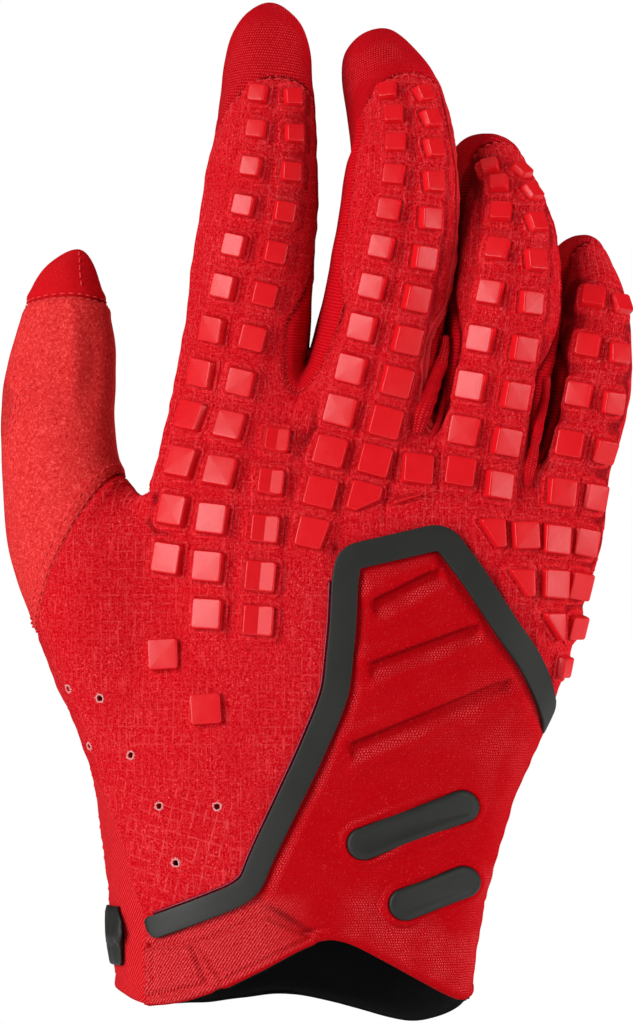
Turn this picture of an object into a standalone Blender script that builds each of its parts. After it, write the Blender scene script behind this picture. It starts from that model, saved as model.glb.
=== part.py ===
"""A right-hand riding glove, held up in its worn form: fingers up, back of the hand towards -Y."""

import math

import bmesh
import bpy
import numpy as np
from mathutils import Vector
from mathutils.bvhtree import BVHTree

# Overall sizes in metres. Table entries are shares of these unless a column says otherwise.
GLOVE_LENGTH = 0.2355
GLOVE_WIDTH = 0.1456
GLOVE_DEPTH = 0.060

# Walls and clearances
WALL = 0.0016
LINING_WALL = 0.0009
SEAM_GAP = 0.0003
TRIM_GAP = 0.0003
LINING_GAP = 0.0004

# Raised blocks
BLOCK_HEIGHT = 0.0019
BLOCK_SINK = 0.0009
BLOCK_TOP_SHARE = 0.86
BLOCK_SIDE_SMALL = 0.0039
BLOCK_SIDE_LARGE = 0.0060

# Black rubber pieces
TRIM_WIDTH = 0.0058
TRIM_PROUD = 0.0015
TRIM_SUNK = 0.0004
TRIM_STEP = 0.012
BAR_WIDTH = 0.0074
BAR_PROUD = 0.0015
BAR_LIFT = 0.0005
STRAP_WIDTH = 0.0135
STRAP_THICKNESS = 0.0017

# Vents and flex grooves
VENT_DIAMETER = 0.0016
GROOVE_DEPTH = 0.0009
GROOVE_HALF_HEIGHT = 0.0021
GROOVE_STEP = 0.006
GROOVE_RIM = 0.002

# Small bevels of the rubber pieces and the strap
RUBBER_CHAMFER = 0.0004
STRAP_CHAMFER = 0.0003

# Clearances of the cuts: half length along Y, reach past the glove, foot below it, height over the trim
CUT_REACH = 0.10
OUTLINE_REACH = 0.12
OUTLINE_FOOT = -0.03
TRIM_CLEAR = 0.004
RAY_START = 0.20

# Above this height share, faces that turn less than this many degrees are joined
FLAT_FROM = 0.145
FLAT_ANGLE = 4.5

# Outward allowance for the shrinkage of a subdivided ring
RING_8 = 1.105
RING_10 = 1.065
RING_20 = 1.015
TIP_REACH = 2.1

# Regions of the base surface
BACK, PALM, GUSSET_1, GUSSET_2, GUSSET_3, STRIP, THUMB, THUMB_TIP = range(8)
CAP_1, CAP_2, CAP_3, CAP_4 = range(8, 12)

# Fingers: up, left, right, depth, thickness, roll in degrees
INDEX = (
    (0.673, -0.167, 0.033, -0.017, 0.467, -10),
    (0.734, -0.153, 0.035, -0.033, 0.450, -5),
    (0.793, -0.139, 0.044, -0.033, 0.433, 3),
    (0.849, -0.126, 0.043, -0.017, 0.417, 8),
    (0.891, -0.115, 0.036, 0.017, 0.392, 12),
    (0.939, -0.104, 0.035, 0.058, 0.342, 12),
    (0.977, -0.091, 0.026, 0.100, 0.233, 12),
)
MIDDLE = (
    (0.686, 0.047, 0.246, -0.050, 0.467, 5),
    (0.744, 0.066, 0.258, -0.067, 0.458, 9),
    (0.800, 0.081, 0.267, -0.050, 0.450, 12),
    (0.849, 0.088, 0.262, 0.000, 0.425, 14),
    (0.885, 0.090, 0.250, 0.067, 0.392, 16),
    (0.924, 0.078, 0.227, 0.150, 0.333, 16),
    (0.952, 0.080, 0.194, 0.225, 0.242, 16),
)
RING = (
    (0.624, 0.232, 0.409, 0.017, 0.450, 0),
    (0.686, 0.243, 0.427, 0.000, 0.450, 3),
    (0.741, 0.253, 0.431, 0.033, 0.442, 10),
    (0.785, 0.251, 0.412, 0.133, 0.417, 16),
    (0.814, 0.246, 0.385, 0.267, 0.383, 22),
    (0.835, 0.243, 0.353, 0.408, 0.325, 24),
    (0.848, 0.251, 0.326, 0.517, 0.233, 24),
)
LITTLE = (
    (0.598, 0.397, 0.536, 0.117, 0.417, 8),
    (0.650, 0.404, 0.543, 0.117, 0.408, 17),
    (0.695, 0.403, 0.534, 0.175, 0.392, 28),
    (0.720, 0.400, 0.505, 0.283, 0.367, 32),
    (0.736, 0.402, 0.482, 0.400, 0.325, 32),
    (0.747, 0.410, 0.462, 0.517, 0.242, 32),
)

# One row per finger: table, tip (across, up, depth), row of the cap seam, first knuckle column,
# regions of its left side, right side and cap
FINGERS = (
    ("index", INDEX, (-0.035, 1.000, 0.125), 4, 0, STRIP, GUSSET_1, CAP_1),
    ("middle", MIDDLE, (0.145, 0.974, 0.283), 4, 2, GUSSET_1, GUSSET_2, CAP_2),
    ("ring", RING, (0.282, 0.855, 0.583), 4, 4, GUSSET_2, GUSSET_3, CAP_3),
    ("little", LITTLE, (0.438, 0.754, 0.583), 3, 6, GUSSET_3, BACK, CAP_4),
)

# Rise of the cap seam at left side, back left, back, back right, right side, palm right, palm, palm left
CAP_ARCH = (-0.053, 0.016, 0.042, 0.030, -0.011, -0.020, -0.020, -0.030)

# Thumb: inner across, inner up, outer across, outer up, depth, thickness, shift of the back to the tip
THUMB_ROWS = (
    (-0.240, 0.518, -0.350, 0.312, 0.033, 0.600, 0.000),
    (-0.263, 0.534, -0.397, 0.375, 0.067, 0.550, 0.014),
    (-0.274, 0.567, -0.446, 0.450, 0.100, 0.483, 0.006),
    (-0.280, 0.602, -0.458, 0.541, 0.117, 0.433, 0.000),
    (-0.276, 0.644, -0.461, 0.614, 0.133, 0.408, 0.000),
    (-0.277, 0.676, -0.438, 0.674, 0.133, 0.367, 0.000),
    (-0.289, 0.702, -0.417, 0.701, 0.142, 0.325, 0.010),
    (-0.304, 0.733, -0.405, 0.735, 0.150, 0.233, 0.000),
)
THUMB_TIP_POINT = (-0.338, 0.757, 0.158)
THUMB_SEAM_ROW = 1
THUMB_CAP_ROW = 6

# Knuckle line, left side to right side: across, up on the back, up on the palm, depth back, depth palm
KNUCKLES = (
    (-0.188, 0.609, 0.609, -0.017, -0.017),
    (-0.179, 0.607, 0.611, -0.085, 0.110),
    (-0.082, 0.607, 0.617, -0.225, 0.200),
    (0.003, 0.596, 0.623, -0.208, 0.183),
    (0.111, 0.586, 0.607, -0.258, 0.200),
    (0.218, 0.559, 0.588, -0.208, 0.200),
    (0.303, 0.547, 0.570, -0.208, 0.242),
    (0.382, 0.521, 0.553, -0.133, 0.250),
    (0.439, 0.525, 0.549, -0.108, 0.300),
    (0.487, 0.529, 0.541, -0.017, 0.233),
    (0.507, 0.535, 0.535, 0.100, 0.100),
)
# Bottom of the gap between neighbouring fingers: across, up, depth
WEBS = {2: (0.035, 0.656, 0.000), 4: (0.234, 0.624, 0.020), 6: (0.404, 0.595, 0.110)}

# Cuff edge, left side to right side: across, up on the back, up on the palm
CUFF = (
    (-0.290, 0.045, 0.045),
    (-0.240, 0.021, 0.020),
    (-0.166, 0.026, 0.020),
    (-0.095, 0.045, 0.023),
    (-0.019, 0.065, 0.031),
    (0.058, 0.084, 0.025),
    (0.130, 0.070, 0.012),
    (0.199, 0.051, 0.001),
    (0.253, 0.032, 0.012),
    (0.278, 0.025, 0.023),
    (0.284, 0.033, 0.033),
)

# Hand from the wrist up: up at left, up at right, left, right, depth of the middle, thickness,
# drop of the right side, share of the knuckle spacing
HAND_ROWS = (
    (0.132, 0.132, -0.291, 0.313, 0.000, 0.80, 0.00, 0.00),
    (0.185, 0.185, -0.304, 0.332, 0.000, 0.79, 0.00, 0.10),
    (0.248, 0.252, -0.312, 0.370, 0.000, 0.77, 0.02, 0.25),
    (0.345, 0.335, -0.253, 0.438, 0.000, 0.74, 0.05, 0.50),
    (0.432, 0.405, -0.221, 0.463, -0.005, 0.68, 0.08, 0.75),
    (0.513, 0.450, -0.224, 0.487, -0.010, 0.62, 0.10, 1.00),
    (0.562, 0.492, -0.205, 0.501, -0.010, 0.54, 0.10, 1.00),
)
CUFF_THICKNESS = 0.80
WRIST_SPACING = (-0.90, -0.68, -0.46, -0.23, 0.00, 0.23, 0.46, 0.68, 0.90)
KNUCKLE_SPACING = (-0.962, -0.72, -0.46, -0.16, 0.13, 0.385, 0.62, 0.80, 0.94)
SECTION_POWER = 2.3

# Columns of blocks: name, count, side of first and last in shares between small and large, and four
# points (across, up) that a cubic passes through at 0, 1/3, 2/3 and 1 of the column
BLOCK_COLUMNS = (
    ("index_left", 12, 0.10, 1.00, (-0.049, 0.906), (-0.080, 0.772), (-0.141, 0.621), (-0.189, 0.455)),
    ("index_right", 13, 0.05, 1.00, (0.002, 0.903), (-0.024, 0.752), (-0.093, 0.583), (-0.127, 0.401)),
    ("between", 5, 0.50, 1.00, (-0.020, 0.569), (-0.033, 0.514), (-0.044, 0.453), (-0.049, 0.395)),
    ("middle_left", 13, 0.05, 1.00, (0.155, 0.908), (0.156, 0.793), (0.098, 0.639), (0.035, 0.479)),
    ("middle_right", 12, 0.00, 1.00, (0.207, 0.906), (0.219, 0.797), (0.177, 0.654), (0.116, 0.513)),
    ("ring_left", 9, 0.05, 1.00, (0.317, 0.835), (0.330, 0.767), (0.297, 0.653), (0.267, 0.539)),
    ("ring_right", 9, 0.00, 0.90, (0.364, 0.831), (0.385, 0.757), (0.361, 0.644), (0.326, 0.526)),
    ("little_left", 7, 0.40, 0.90, (0.479, 0.708), (0.456, 0.614), (0.426, 0.519), (0.414, 0.430)),
    ("little_right", 7, 0.20, 0.80, (0.520, 0.701), (0.507, 0.607), (0.477, 0.515), (0.452, 0.429)),
    ("by_trim", 3, 0.85, 0.85, (0.314, 0.478), (0.346, 0.445), (0.378, 0.416), (0.409, 0.391)),
)
# Blocks that stand alone: across, up, side share
SINGLE_BLOCKS = (
    (-0.197, 0.362, 1.0),
    (-0.131, 0.309, 1.0),
    (0.199, 0.541, 0.9),
    (0.368, 0.478, 0.7),
    (0.447, 0.391, 0.6),
)

# Centre line of the black trim from its rounded lower end: across, up
TRIM_LINE = (
    (-0.216, 0.096),
    (-0.194, 0.098),
    (-0.081, 0.124),
    (-0.054, 0.133),
    (-0.025, 0.181),
    (0.003, 0.221),
    (0.022, 0.243),
    (0.036, 0.285),
    (0.075, 0.322),
    (0.087, 0.390),
    (0.088, 0.434),
    (0.092, 0.454),
    (0.239, 0.477),
    (0.300, 0.428),
    (0.354, 0.376),
    (0.383, 0.345),
    (0.390, 0.316),
)
# Edge of the lower left side panel, from the palm seam to the trim's end
SIDE_LINE = ((-0.330, 0.262), (-0.297, 0.230), (-0.275, 0.203), (-0.259, 0.176), (-0.245, 0.137),
             (-0.228, 0.112), (-0.216, 0.096))
SIDE_FOOT = (-0.226, -0.05)

# Plain rubber bars: centre across, centre up, length in metres
BARS = (("wrist_bar_upper", 0.190, 0.197, 0.031), ("wrist_bar_lower", 0.222, 0.131, 0.021))
BAR_SLOPE = 21.0

# Flex grooves of the wrist pad: left end across, up, right end across, up
GROOVES = (
    (0.134, 0.407, 0.232, 0.437),
    (0.128, 0.346, 0.292, 0.383),
    (0.098, 0.268, 0.340, 0.330),
)

# Vent holes: across, up
VENTS = (
    (-0.349, 0.328),
    (-0.299, 0.319),
    (-0.316, 0.272),
    (-0.250, 0.264),
    (-0.205, 0.215),
    (-0.114, 0.215),
    (-0.179, 0.160),
)

# The panels that are whole regions of the surface: name, region, material, flat angle
PANELS = (
    ("palm_panel", PALM, "suede", 6.5),
    ("gusset_index_middle", GUSSET_1, "knit", 4.5),
    ("gusset_middle_ring", GUSSET_2, "knit", 4.5),
    ("gusset_ring_little", GUSSET_3, "knit", 4.5),
    ("strip_index", STRIP, "knit", 4.5),
    ("thumb_panel", THUMB, "suede", 6.0),
    ("thumb_cap", THUMB_TIP, "knit", 4.5),
    ("cap_index", CAP_1, "mesh_knit", 5.5),
    ("cap_middle", CAP_2, "mesh_knit", 5.5),
    ("cap_ring", CAP_3, "mesh_knit", 5.5),
    ("cap_little", CAP_4, "mesh_knit", 5.5),
)

# The closure strap: height share, angles in degrees round the wrist, steps, lift off the cuff
STRAP_HEIGHT = 0.088
STRAP_FROM = 78.0
STRAP_TO = 202.0
STRAP_STEPS = 15
STRAP_LIFT = 0.0006

# Rings of the hand that the cuff lining follows, from the cuff edge
LINING_ROWS = 3

COLOURS = {
    "woven": ((0.55, 0.012, 0.020), 0.85),
    "knit": ((0.60, 0.014, 0.024), 0.80),
    "suede": ((0.72, 0.050, 0.050), 0.92),
    "mesh_knit": ((0.50, 0.010, 0.018), 0.85),
    "rubber_black": ((0.020, 0.020, 0.018), 0.45),
    "lining_black": ((0.006, 0.006, 0.007), 0.90),
}


def across(share):
    return share * GLOVE_WIDTH


def up(share):
    return share * GLOVE_LENGTH


def deep(share):
    return share * GLOVE_DEPTH


def clear_scene():
    for obj in list(bpy.data.objects):
        bpy.data.objects.remove(obj, do_unlink=True)


def make_collection(name):
    group = bpy.data.collections.new(name)
    bpy.context.scene.collection.children.link(group)
    return group


def make_material(name):
    colour, roughness = COLOURS[name]
    material = bpy.data.materials.new(name)
    material.use_nodes = True
    shader = material.node_tree.nodes["Principled BSDF"]
    shader.inputs["Base Color"].default_value = (*colour, 1.0)
    shader.inputs["Roughness"].default_value = roughness
    shader.inputs["Metallic"].default_value = 0.0
    material.diffuse_color = (*colour, 1.0)
    return material


def mesh_object(name, points, faces, group, material=None, smooth=True):
    mesh = bpy.data.meshes.new(name)
    mesh.from_pydata([tuple(p) for p in points], [], [tuple(f) for f in faces])
    mesh.validate()
    mesh.update()
    obj = bpy.data.objects.new(name, mesh)
    group.objects.link(obj)
    if material is not None:
        mesh.materials.append(material)
    if smooth:
        for polygon in mesh.polygons:
            polygon.use_smooth = True
    return obj


def evaluated_copy(obj):
    """A new mesh of the object as its modifiers leave it."""
    graph = bpy.context.evaluated_depsgraph_get()
    graph.update()
    return bpy.data.meshes.new_from_object(obj.evaluated_get(graph), depsgraph=graph)


class Cage:
    """The coarse faces of the hand, each with its region."""

    def __init__(self):
        self.points = []
        self.faces = []
        self.regions = []

    def point(self, x, y, z):
        self.points.append((x, y, z))
        return len(self.points) - 1

    def quad(self, a, b, c, d, region):
        self.faces.append((a, b, c, d))
        self.regions.append(region)

    def join_rings(self, low, high, regions):
        count = len(low)
        for k in range(count):
            n = (k + 1) % count
            self.quad(low[k], low[n], high[n], high[k], regions[k])


def hand_section(row, column_shares):
    """Back and palm points of one section of the hand, column by column."""
    up_left, up_right, left, right, middle, thickness, drop, _ = row
    centre = 0.5 * (left + right)
    half = 0.5 * (right - left) * RING_20
    out = []
    for f in (-1.0, *column_shares, 1.0):
        x = across(centre + half * f)
        z = up(up_left + (up_right - up_left) * 0.5 * (f + 1.0))
        bulge = (1.0 - min(abs(f), 1.0) ** SECTION_POWER) ** (1.0 / SECTION_POWER)
        y_mid = deep(middle + drop * f)
        y_out = deep(0.5 * thickness) * bulge
        out.append(((x, y_mid - y_out, z), (x, y_mid + y_out, z)))
    return out


def hand_rings(cage):
    """Rings of twenty points from the cuff edge to the knuckles: [side, back..., side, palm...]."""
    sections = []
    cuff = []
    widest = max(abs(row[0]) for row in CUFF)
    for x, up_back, up_palm in CUFF:
        f = min(abs(x) / widest, 1.0)
        bulge = (1.0 - f**SECTION_POWER) ** (1.0 / SECTION_POWER)
        y = deep(0.5 * CUFF_THICKNESS) * bulge
        cuff.append(((across(x), -y, up(up_back)), (across(x), y, up(up_palm))))
    sections.append(cuff)
    rows = []
    for row in HAND_ROWS:
        mix = row[7]
        shares = [a + (b - a) * mix for a, b in zip(WRIST_SPACING, KNUCKLE_SPACING)]
        rows.append(hand_section(row, shares))
    halfway = []
    for low, high in zip(cuff, rows[0]):
        halfway.append(tuple(tuple(0.5 * (a + b) for a, b in zip(p, q)) for p, q in zip(low, high)))
    sections.append(halfway)
    sections.extend(rows)
    knuckles = []
    for x, up_back, up_palm, depth_back, depth_palm in KNUCKLES:
        knuckles.append(
            ((across(x), deep(depth_back), up(up_back)), (across(x), deep(depth_palm), up(up_palm)))
        )
    sections.append(knuckles)
    rings = []
    for number, section in enumerate(sections):
        thumb_rows = number in (5, 6)
        ring = []
        last = len(section) - 1
        for column, (back, _) in enumerate(section):
            if column == 0 and thumb_rows:
                ring.append(None)
                continue
            ring.append(cage.point(*back))
        for column in range(last - 1, 0, -1):
            ring.append(cage.point(*section[column][1]))
        rings.append(ring)
    return rings


def join_hand(cage, rings):
    """Faces of the hand, leaving a hole of two columns by three rows for the thumb."""
    for number in range(len(rings) - 1):
        low, high = rings[number], rings[number + 1]
        for k in range(20):
            n = (k + 1) % 20
            corners = (low[k], low[n], high[n], high[k])
            if None in corners or (number in (4, 5, 6) and k in (0, 19)):
                continue
            region = BACK if k <= 9 else PALM
            if number >= 7 and k in (0, 19):
                region = STRIP
            cage.quad(*corners, region)


def finger_ring(centre, tangent, half_width, half_thick, roll, rise=None):
    """Eight points round a finger: left side, back left, back, back right, right side, then the palm."""
    side = np.array([1.0, 0.0, 0.0])
    side = side - tangent * side.dot(tangent)
    half_width = half_width * np.linalg.norm(side)
    side = side / np.linalg.norm(side)
    back = np.cross(side, tangent)
    turn = math.radians(roll)
    side, back = (
        side * math.cos(turn) - back * math.sin(turn),
        back * math.cos(turn) + side * math.sin(turn),
    )
    ring = []
    for k in range(8):
        angle = math.radians(180.0 - 45.0 * k)
        square = RING_8 * (1.04 if k % 2 else 1.0)
        point = centre + side * half_width * square * math.cos(angle)
        point = point + back * half_thick * square * math.sin(angle)
        if rise is not None:
            point = point + tangent * up(rise[k])
        ring.append(point)
    return ring


def finger_centres(rows, tip):
    centres = [np.array([across(0.5 * (r[1] + r[2])), deep(r[3]), up(r[0])]) for r in rows]
    centres.append(np.array([across(tip[0]), deep(tip[2]), up(tip[1])]))
    return centres


def unit(vector):
    return vector / np.linalg.norm(vector)


def add_finger(cage, knuckles, webs, finger):
    """Rings from the knuckle line to the tip, with the cap above the arched seam."""
    name, rows, tip, cap_row, column, left_region, right_region, cap_region = finger
    left_web, right_web = webs
    base = [left_web, *knuckles[column + 1 : column + 4], right_web]
    palm = [20 - k for k in (column + 3, column + 2, column + 1)]
    base = [*base, *[knuckles[k] for k in palm]]
    below = [left_region, BACK, BACK, right_region, right_region, PALM, PALM, left_region]
    if name == "little":
        below[4] = PALM
    above = [cap_region] * 5 + [PALM, PALM, cap_region]
    centres = finger_centres(rows, tip)
    low = base
    for number, row in enumerate(rows):
        tangent = unit(centres[number + 1] - centres[max(number - 1, 0)])
        if number == 0:
            tangent = unit(centres[1] - centres[0])
        half_width = across(0.5 * (row[2] - row[1]))
        rise = CAP_ARCH if number == cap_row else None
        points = finger_ring(centres[number], tangent, half_width, deep(0.5 * row[4]), row[5], rise)
        high = [cage.point(*p) for p in points]
        cage.join_rings(low, high, below if number <= cap_row else above)
        low = high
    top = cage.point(*(centres[-2] + (centres[-1] - centres[-2]) * TIP_REACH))
    cage.quad(low[7], low[0], low[1], top, cap_region)
    cage.quad(low[1], low[2], low[3], top, cap_region)
    cage.quad(low[3], low[4], low[5], top, cap_region)
    cage.quad(low[5], low[6], low[7], top, PALM)


def thumb_ring(inner, outer, tangent, half_thick, shift):
    """Ten points round the thumb, starting on the back beside the inner edge."""
    centre = 0.5 * (inner + outer)
    major = 0.5 * (inner - outer)
    back = np.cross(unit(major), tangent)
    back = unit(back - unit(major) * back.dot(unit(major)))
    ring = []
    for degrees in (36, 0, -36, -72, -108, -144, 180, 144, 108, 72):
        angle = math.radians(degrees)
        point = centre + major * RING_10 * math.cos(angle)
        point = point + back * half_thick * RING_10 * math.sin(angle)
        point = point + tangent * up(shift) * max(math.sin(angle), 0.0)
        ring.append(point)
    return ring


def add_thumb(cage, rings):
    low = [rings[7][1], rings[7][0], rings[7][19], rings[6][19], rings[5][19], rings[4][19]]
    low += [rings[4][0], rings[4][1], rings[5][1], rings[6][1]]
    inner = [np.array([across(r[0]), deep(r[4]), up(r[1])]) for r in THUMB_ROWS]
    outer = [np.array([across(r[2]), deep(r[4]), up(r[3])]) for r in THUMB_ROWS]
    middle = [0.5 * (a + b) for a, b in zip(inner, outer)]
    tip = np.array([across(THUMB_TIP_POINT[0]), deep(THUMB_TIP_POINT[2]), up(THUMB_TIP_POINT[1])])
    middle.append(tip)
    for number, row in enumerate(THUMB_ROWS):
        tangent = unit(middle[number + 1] - middle[max(number - 1, 0)])
        points = thumb_ring(inner[number], outer[number], tangent, deep(0.5 * row[5]), row[6])
        high = [cage.point(*p) for p in points]
        if number <= THUMB_SEAM_ROW:
            regions = [BACK] + [PALM] * 5 + [BACK] * 4
        elif number <= THUMB_CAP_ROW:
            regions = [THUMB] * 10
        else:
            regions = [THUMB_TIP] * 10
        cage.join_rings(low, high, regions)
        low = high
    top = cage.point(*(middle[-2] + (tip - middle[-2]) * TIP_REACH))
    for k in range(0, 10, 2):
        cage.quad(low[k], low[k + 1], low[(k + 2) % 10], top, THUMB_TIP)


def build_cage():
    cage = Cage()
    rings = hand_rings(cage)
    join_hand(cage, rings)
    knuckles = rings[-1]
    webs = {c: cage.point(across(p[0]), deep(p[2]), up(p[1])) for c, p in WEBS.items()}
    for finger in FINGERS:
        column = finger[4]
        left = webs.get(column, knuckles[0])
        right = webs.get(column + 2, knuckles[10])
        add_finger(cage, knuckles, (left, right), finger)
    add_thumb(cage, rings)
    return cage


class Surface:
    """The subdivided outer surface: points, normals, faces and their regions."""

    def __init__(self, cage, group, levels=1, name="hand_cage"):
        obj = mesh_object(name, cage.points, cage.faces, group, smooth=False)
        for region in range(12):
            obj.data.materials.append(None)
        for polygon, region in zip(obj.data.polygons, cage.regions):
            polygon.material_index = region
        if levels > 0:
            modifier = obj.modifiers.new("round", "SUBSURF")
            modifier.levels = levels
            modifier.render_levels = levels
        obj.hide_render = True
        obj.display_type = "WIRE"
        mesh = evaluated_copy(obj)
        count = len(mesh.vertices)
        flat = np.empty(count * 3, np.float32)
        mesh.vertices.foreach_get("co", flat)
        self.points = flat.reshape(-1, 3).astype(float)
        self.faces = [tuple(p.vertices) for p in mesh.polygons]
        self.regions = [p.material_index for p in mesh.polygons]
        self.normals = self.point_normals()
        self.tree = BVHTree.FromPolygons([tuple(p) for p in self.points], self.faces)

    def point_normals(self):
        normals = np.zeros_like(self.points)
        for face in self.faces:
            a, b, c, d = (self.points[i] for i in face)
            normal = np.cross(c - a, d - b)
            for i in face:
                normals[i] += normal
        return normals / np.linalg.norm(normals, axis=1)[:, None]

    def hit(self, x, z, direction=1.0):
        """Where a line along Y meets the surface from the back (1) or the palm (-1)."""
        start = Vector((x, -RAY_START * direction, z))
        point, normal, _, _ = self.tree.ray_cast(start, Vector((0.0, direction, 0.0)))
        if point is None:
            point, normal, _, _ = self.tree.find_nearest(Vector((x, -0.02 * direction, z)))
        if normal.y * direction > 0.0:
            normal = -normal
        return np.array(point), np.array(normal)

    def frame_at(self, point):
        """Nearest point of the surface and the smooth normal there."""
        found, _, index, _ = self.tree.find_nearest(Vector(point))
        found = np.array(found)
        total = np.zeros(3)
        for i in self.faces[index]:
            total += self.normals[i] / (np.linalg.norm(self.points[i] - found) + 1e-4)
        return found, unit(total)

    def on_back(self, x, z):
        return self.frame_at(self.hit(x, z)[0])


def boundary_edges(faces):
    """Directed edges that only one face has."""
    seen = {}
    for face in faces:
        for k, a in enumerate(face):
            b = face[(k + 1) % len(face)]
            seen[(a, b)] = face
    return {edge: face for edge, face in seen.items() if (edge[1], edge[0]) not in seen}


def pull_in(surface, faces, edges):
    """Shift of each boundary point into its panel by half of the seam gap."""
    sums = {}
    for (a, b), face in edges.items():
        middle = np.mean([surface.points[i] for i in face], axis=0)
        along = surface.points[b] - surface.points[a]
        inward = middle - 0.5 * (surface.points[a] + surface.points[b])
        inward = inward - along * inward.dot(along) / along.dot(along)
        for i in (a, b):
            sums.setdefault(i, []).append(unit(inward))
    shifts = {}
    for i, parts in sums.items():
        total = np.sum(parts, axis=0)
        length = np.linalg.norm(total)
        if length < 0.3:
            shifts[i] = total * 0.0
            continue
        cosine = max(length / len(parts), 0.55)
        shifts[i] = total / length * 0.5 * SEAM_GAP / cosine
    return shifts


def panel(name, surface, regions, group, material, lift=0.0, wall=WALL, flat=FLAT_ANGLE):
    """A closed wall over the faces of the given regions, held off its neighbours by the seam gap."""
    faces = [f for f, r in zip(surface.faces, surface.regions) if r in regions]
    edges = boundary_edges(faces)
    shifts = pull_in(surface, faces, edges)
    used = sorted({i for f in faces for i in f})
    number = {i: k for k, i in enumerate(used)}
    outer, inner = [], []
    for i in used:
        point = surface.points[i] + shifts.get(i, 0.0)
        outer.append(point + surface.normals[i] * lift)
        inner.append(point - surface.normals[i] * (wall - lift))
    count = len(used)
    solid = [tuple(number[i] for i in f) for f in faces]
    solid += [tuple(number[i] + count for i in reversed(f)) for f in faces]
    for a, b in edges:
        p, q = number[a], number[b]
        if a < b:
            solid += [(q, p, q + count), (p, p + count, q + count)]
        else:
            solid += [(q, p, p + count), (q, p + count, q + count)]
    obj = mesh_object(name, outer + inner, solid, group, material)
    rim = {number[i] for edge in edges for i in edge}
    rim |= {i + count for i in rim}
    simplify(obj, rim, flat)
    return obj


def simplify(obj, rim, flat):
    """Joins nearly flat neighbours away from the rim, so that a wide plain area takes few faces."""
    mesh = bmesh.new()
    mesh.from_mesh(obj.data)
    mesh.verts.ensure_lookup_table()
    inside = [v for v in mesh.verts if v.index not in rim and v.co.z > up(FLAT_FROM)]
    chosen = set(inside)
    edges = [e for e in mesh.edges if e.verts[0] in chosen or e.verts[1] in chosen]
    bmesh.ops.dissolve_limit(mesh, angle_limit=math.radians(flat), verts=inside, edges=edges)
    bmesh.ops.triangulate(mesh, faces=mesh.faces)
    mesh.to_mesh(obj.data)
    mesh.free()


def boolean(target, cutter, operation):
    modifier = target.modifiers.new(operation.lower(), "BOOLEAN")
    modifier.operation = operation
    modifier.solver = "EXACT"
    modifier.object = cutter
    return modifier


def apply_modifiers(obj):
    mesh = evaluated_copy(obj)
    obj.modifiers.clear()
    old = obj.data
    obj.data = mesh
    bpy.data.meshes.remove(old)
    for polygon in obj.data.polygons:
        polygon.material_index = 0


def as_cutter(obj):
    obj.hide_render = True
    obj.display_type = "WIRE"
    return obj


def prism(name, outline, y_low, y_high, group):
    """A straight block along Y over an outline of (x, z) points."""
    area = sum(p[0] * q[1] - q[0] * p[1] for p, q in zip(outline, outline[1:] + outline[:1]))
    if area < 0.0:
        outline = outline[::-1]
    count = len(outline)
    points = [(x, y_low, z) for x, z in outline] + [(x, y_high, z) for x, z in outline]
    faces = [tuple(range(count)), tuple(range(2 * count - 1, count - 1, -1))]
    for k in range(count):
        n = (k + 1) % count
        faces.append((n, k, k + count, n + count))
    return as_cutter(mesh_object(name, points, faces, group, smooth=False))


def offset_line(line, distance):
    """The open line moved to its left by a distance, with mitred corners."""
    points = [np.array(p, float) for p in line]
    out = []
    for k, point in enumerate(points):
        before = unit(point - points[k - 1]) if k > 0 else None
        after = unit(points[k + 1] - point) if k < len(points) - 1 else None
        before = after if before is None else before
        after = before if after is None else after
        normals = [np.array([-d[1], d[0]]) for d in (before, after)]
        mitre = unit(normals[0] + normals[1])
        out.append(tuple(point + mitre * distance / max(mitre.dot(normals[0]), 0.5)))
    return out


def sampled(line, spacing):
    """The line with extra points so that no step is longer than the spacing."""
    points = [np.array(p, float) for p in line]
    out = [points[0]]
    for a, b in zip(points, points[1:]):
        steps = max(1, math.ceil(np.linalg.norm(b - a) / spacing))
        out += [a + (b - a) * (s + 1) / steps for s in range(steps)]
    return [tuple(p) for p in out]


def stations(surface, centres, half_widths):
    """Centre, normal, left and right point of the surface at each centre, with mitred corners."""
    last = len(centres) - 1
    out = []
    for k, (centre, half) in enumerate(zip(centres, half_widths)):
        point, normal = surface.frame_at(centre)
        before = unit(centres[k] - centres[k - 1]) if k > 0 else None
        after = unit(centres[k + 1] - centres[k]) if k < last else None
        before = after if before is None else before
        after = before if after is None else after
        sides = [unit(np.cross(normal, d)) for d in (before, after)]
        mitre = unit(sides[0] + sides[1])
        mitre = mitre * half / max(mitre.dot(sides[0]), 0.6)
        left = surface.frame_at(point + mitre)[0]
        right = surface.frame_at(point - mitre)[0]
        out.append((point, normal, left, right))
    return out


def tube_of_sections(name, rows, group, material):
    """A closed solid through sections of equal point count, flat at both ends."""
    size = len(rows[0])
    faces = []
    for r in range(len(rows) - 1):
        for k in range(size):
            n = (k + 1) % size
            faces.append((r * size + k, r * size + n, (r + 1) * size + n, (r + 1) * size + k))
    faces.append(tuple(reversed(range(size))))
    faces.append(tuple(range((len(rows) - 1) * size, len(rows) * size)))
    points = [p for row in rows for p in row]
    obj = mesh_object(name, points, faces, group, material, smooth=False)
    face_out(obj)
    return obj


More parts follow.
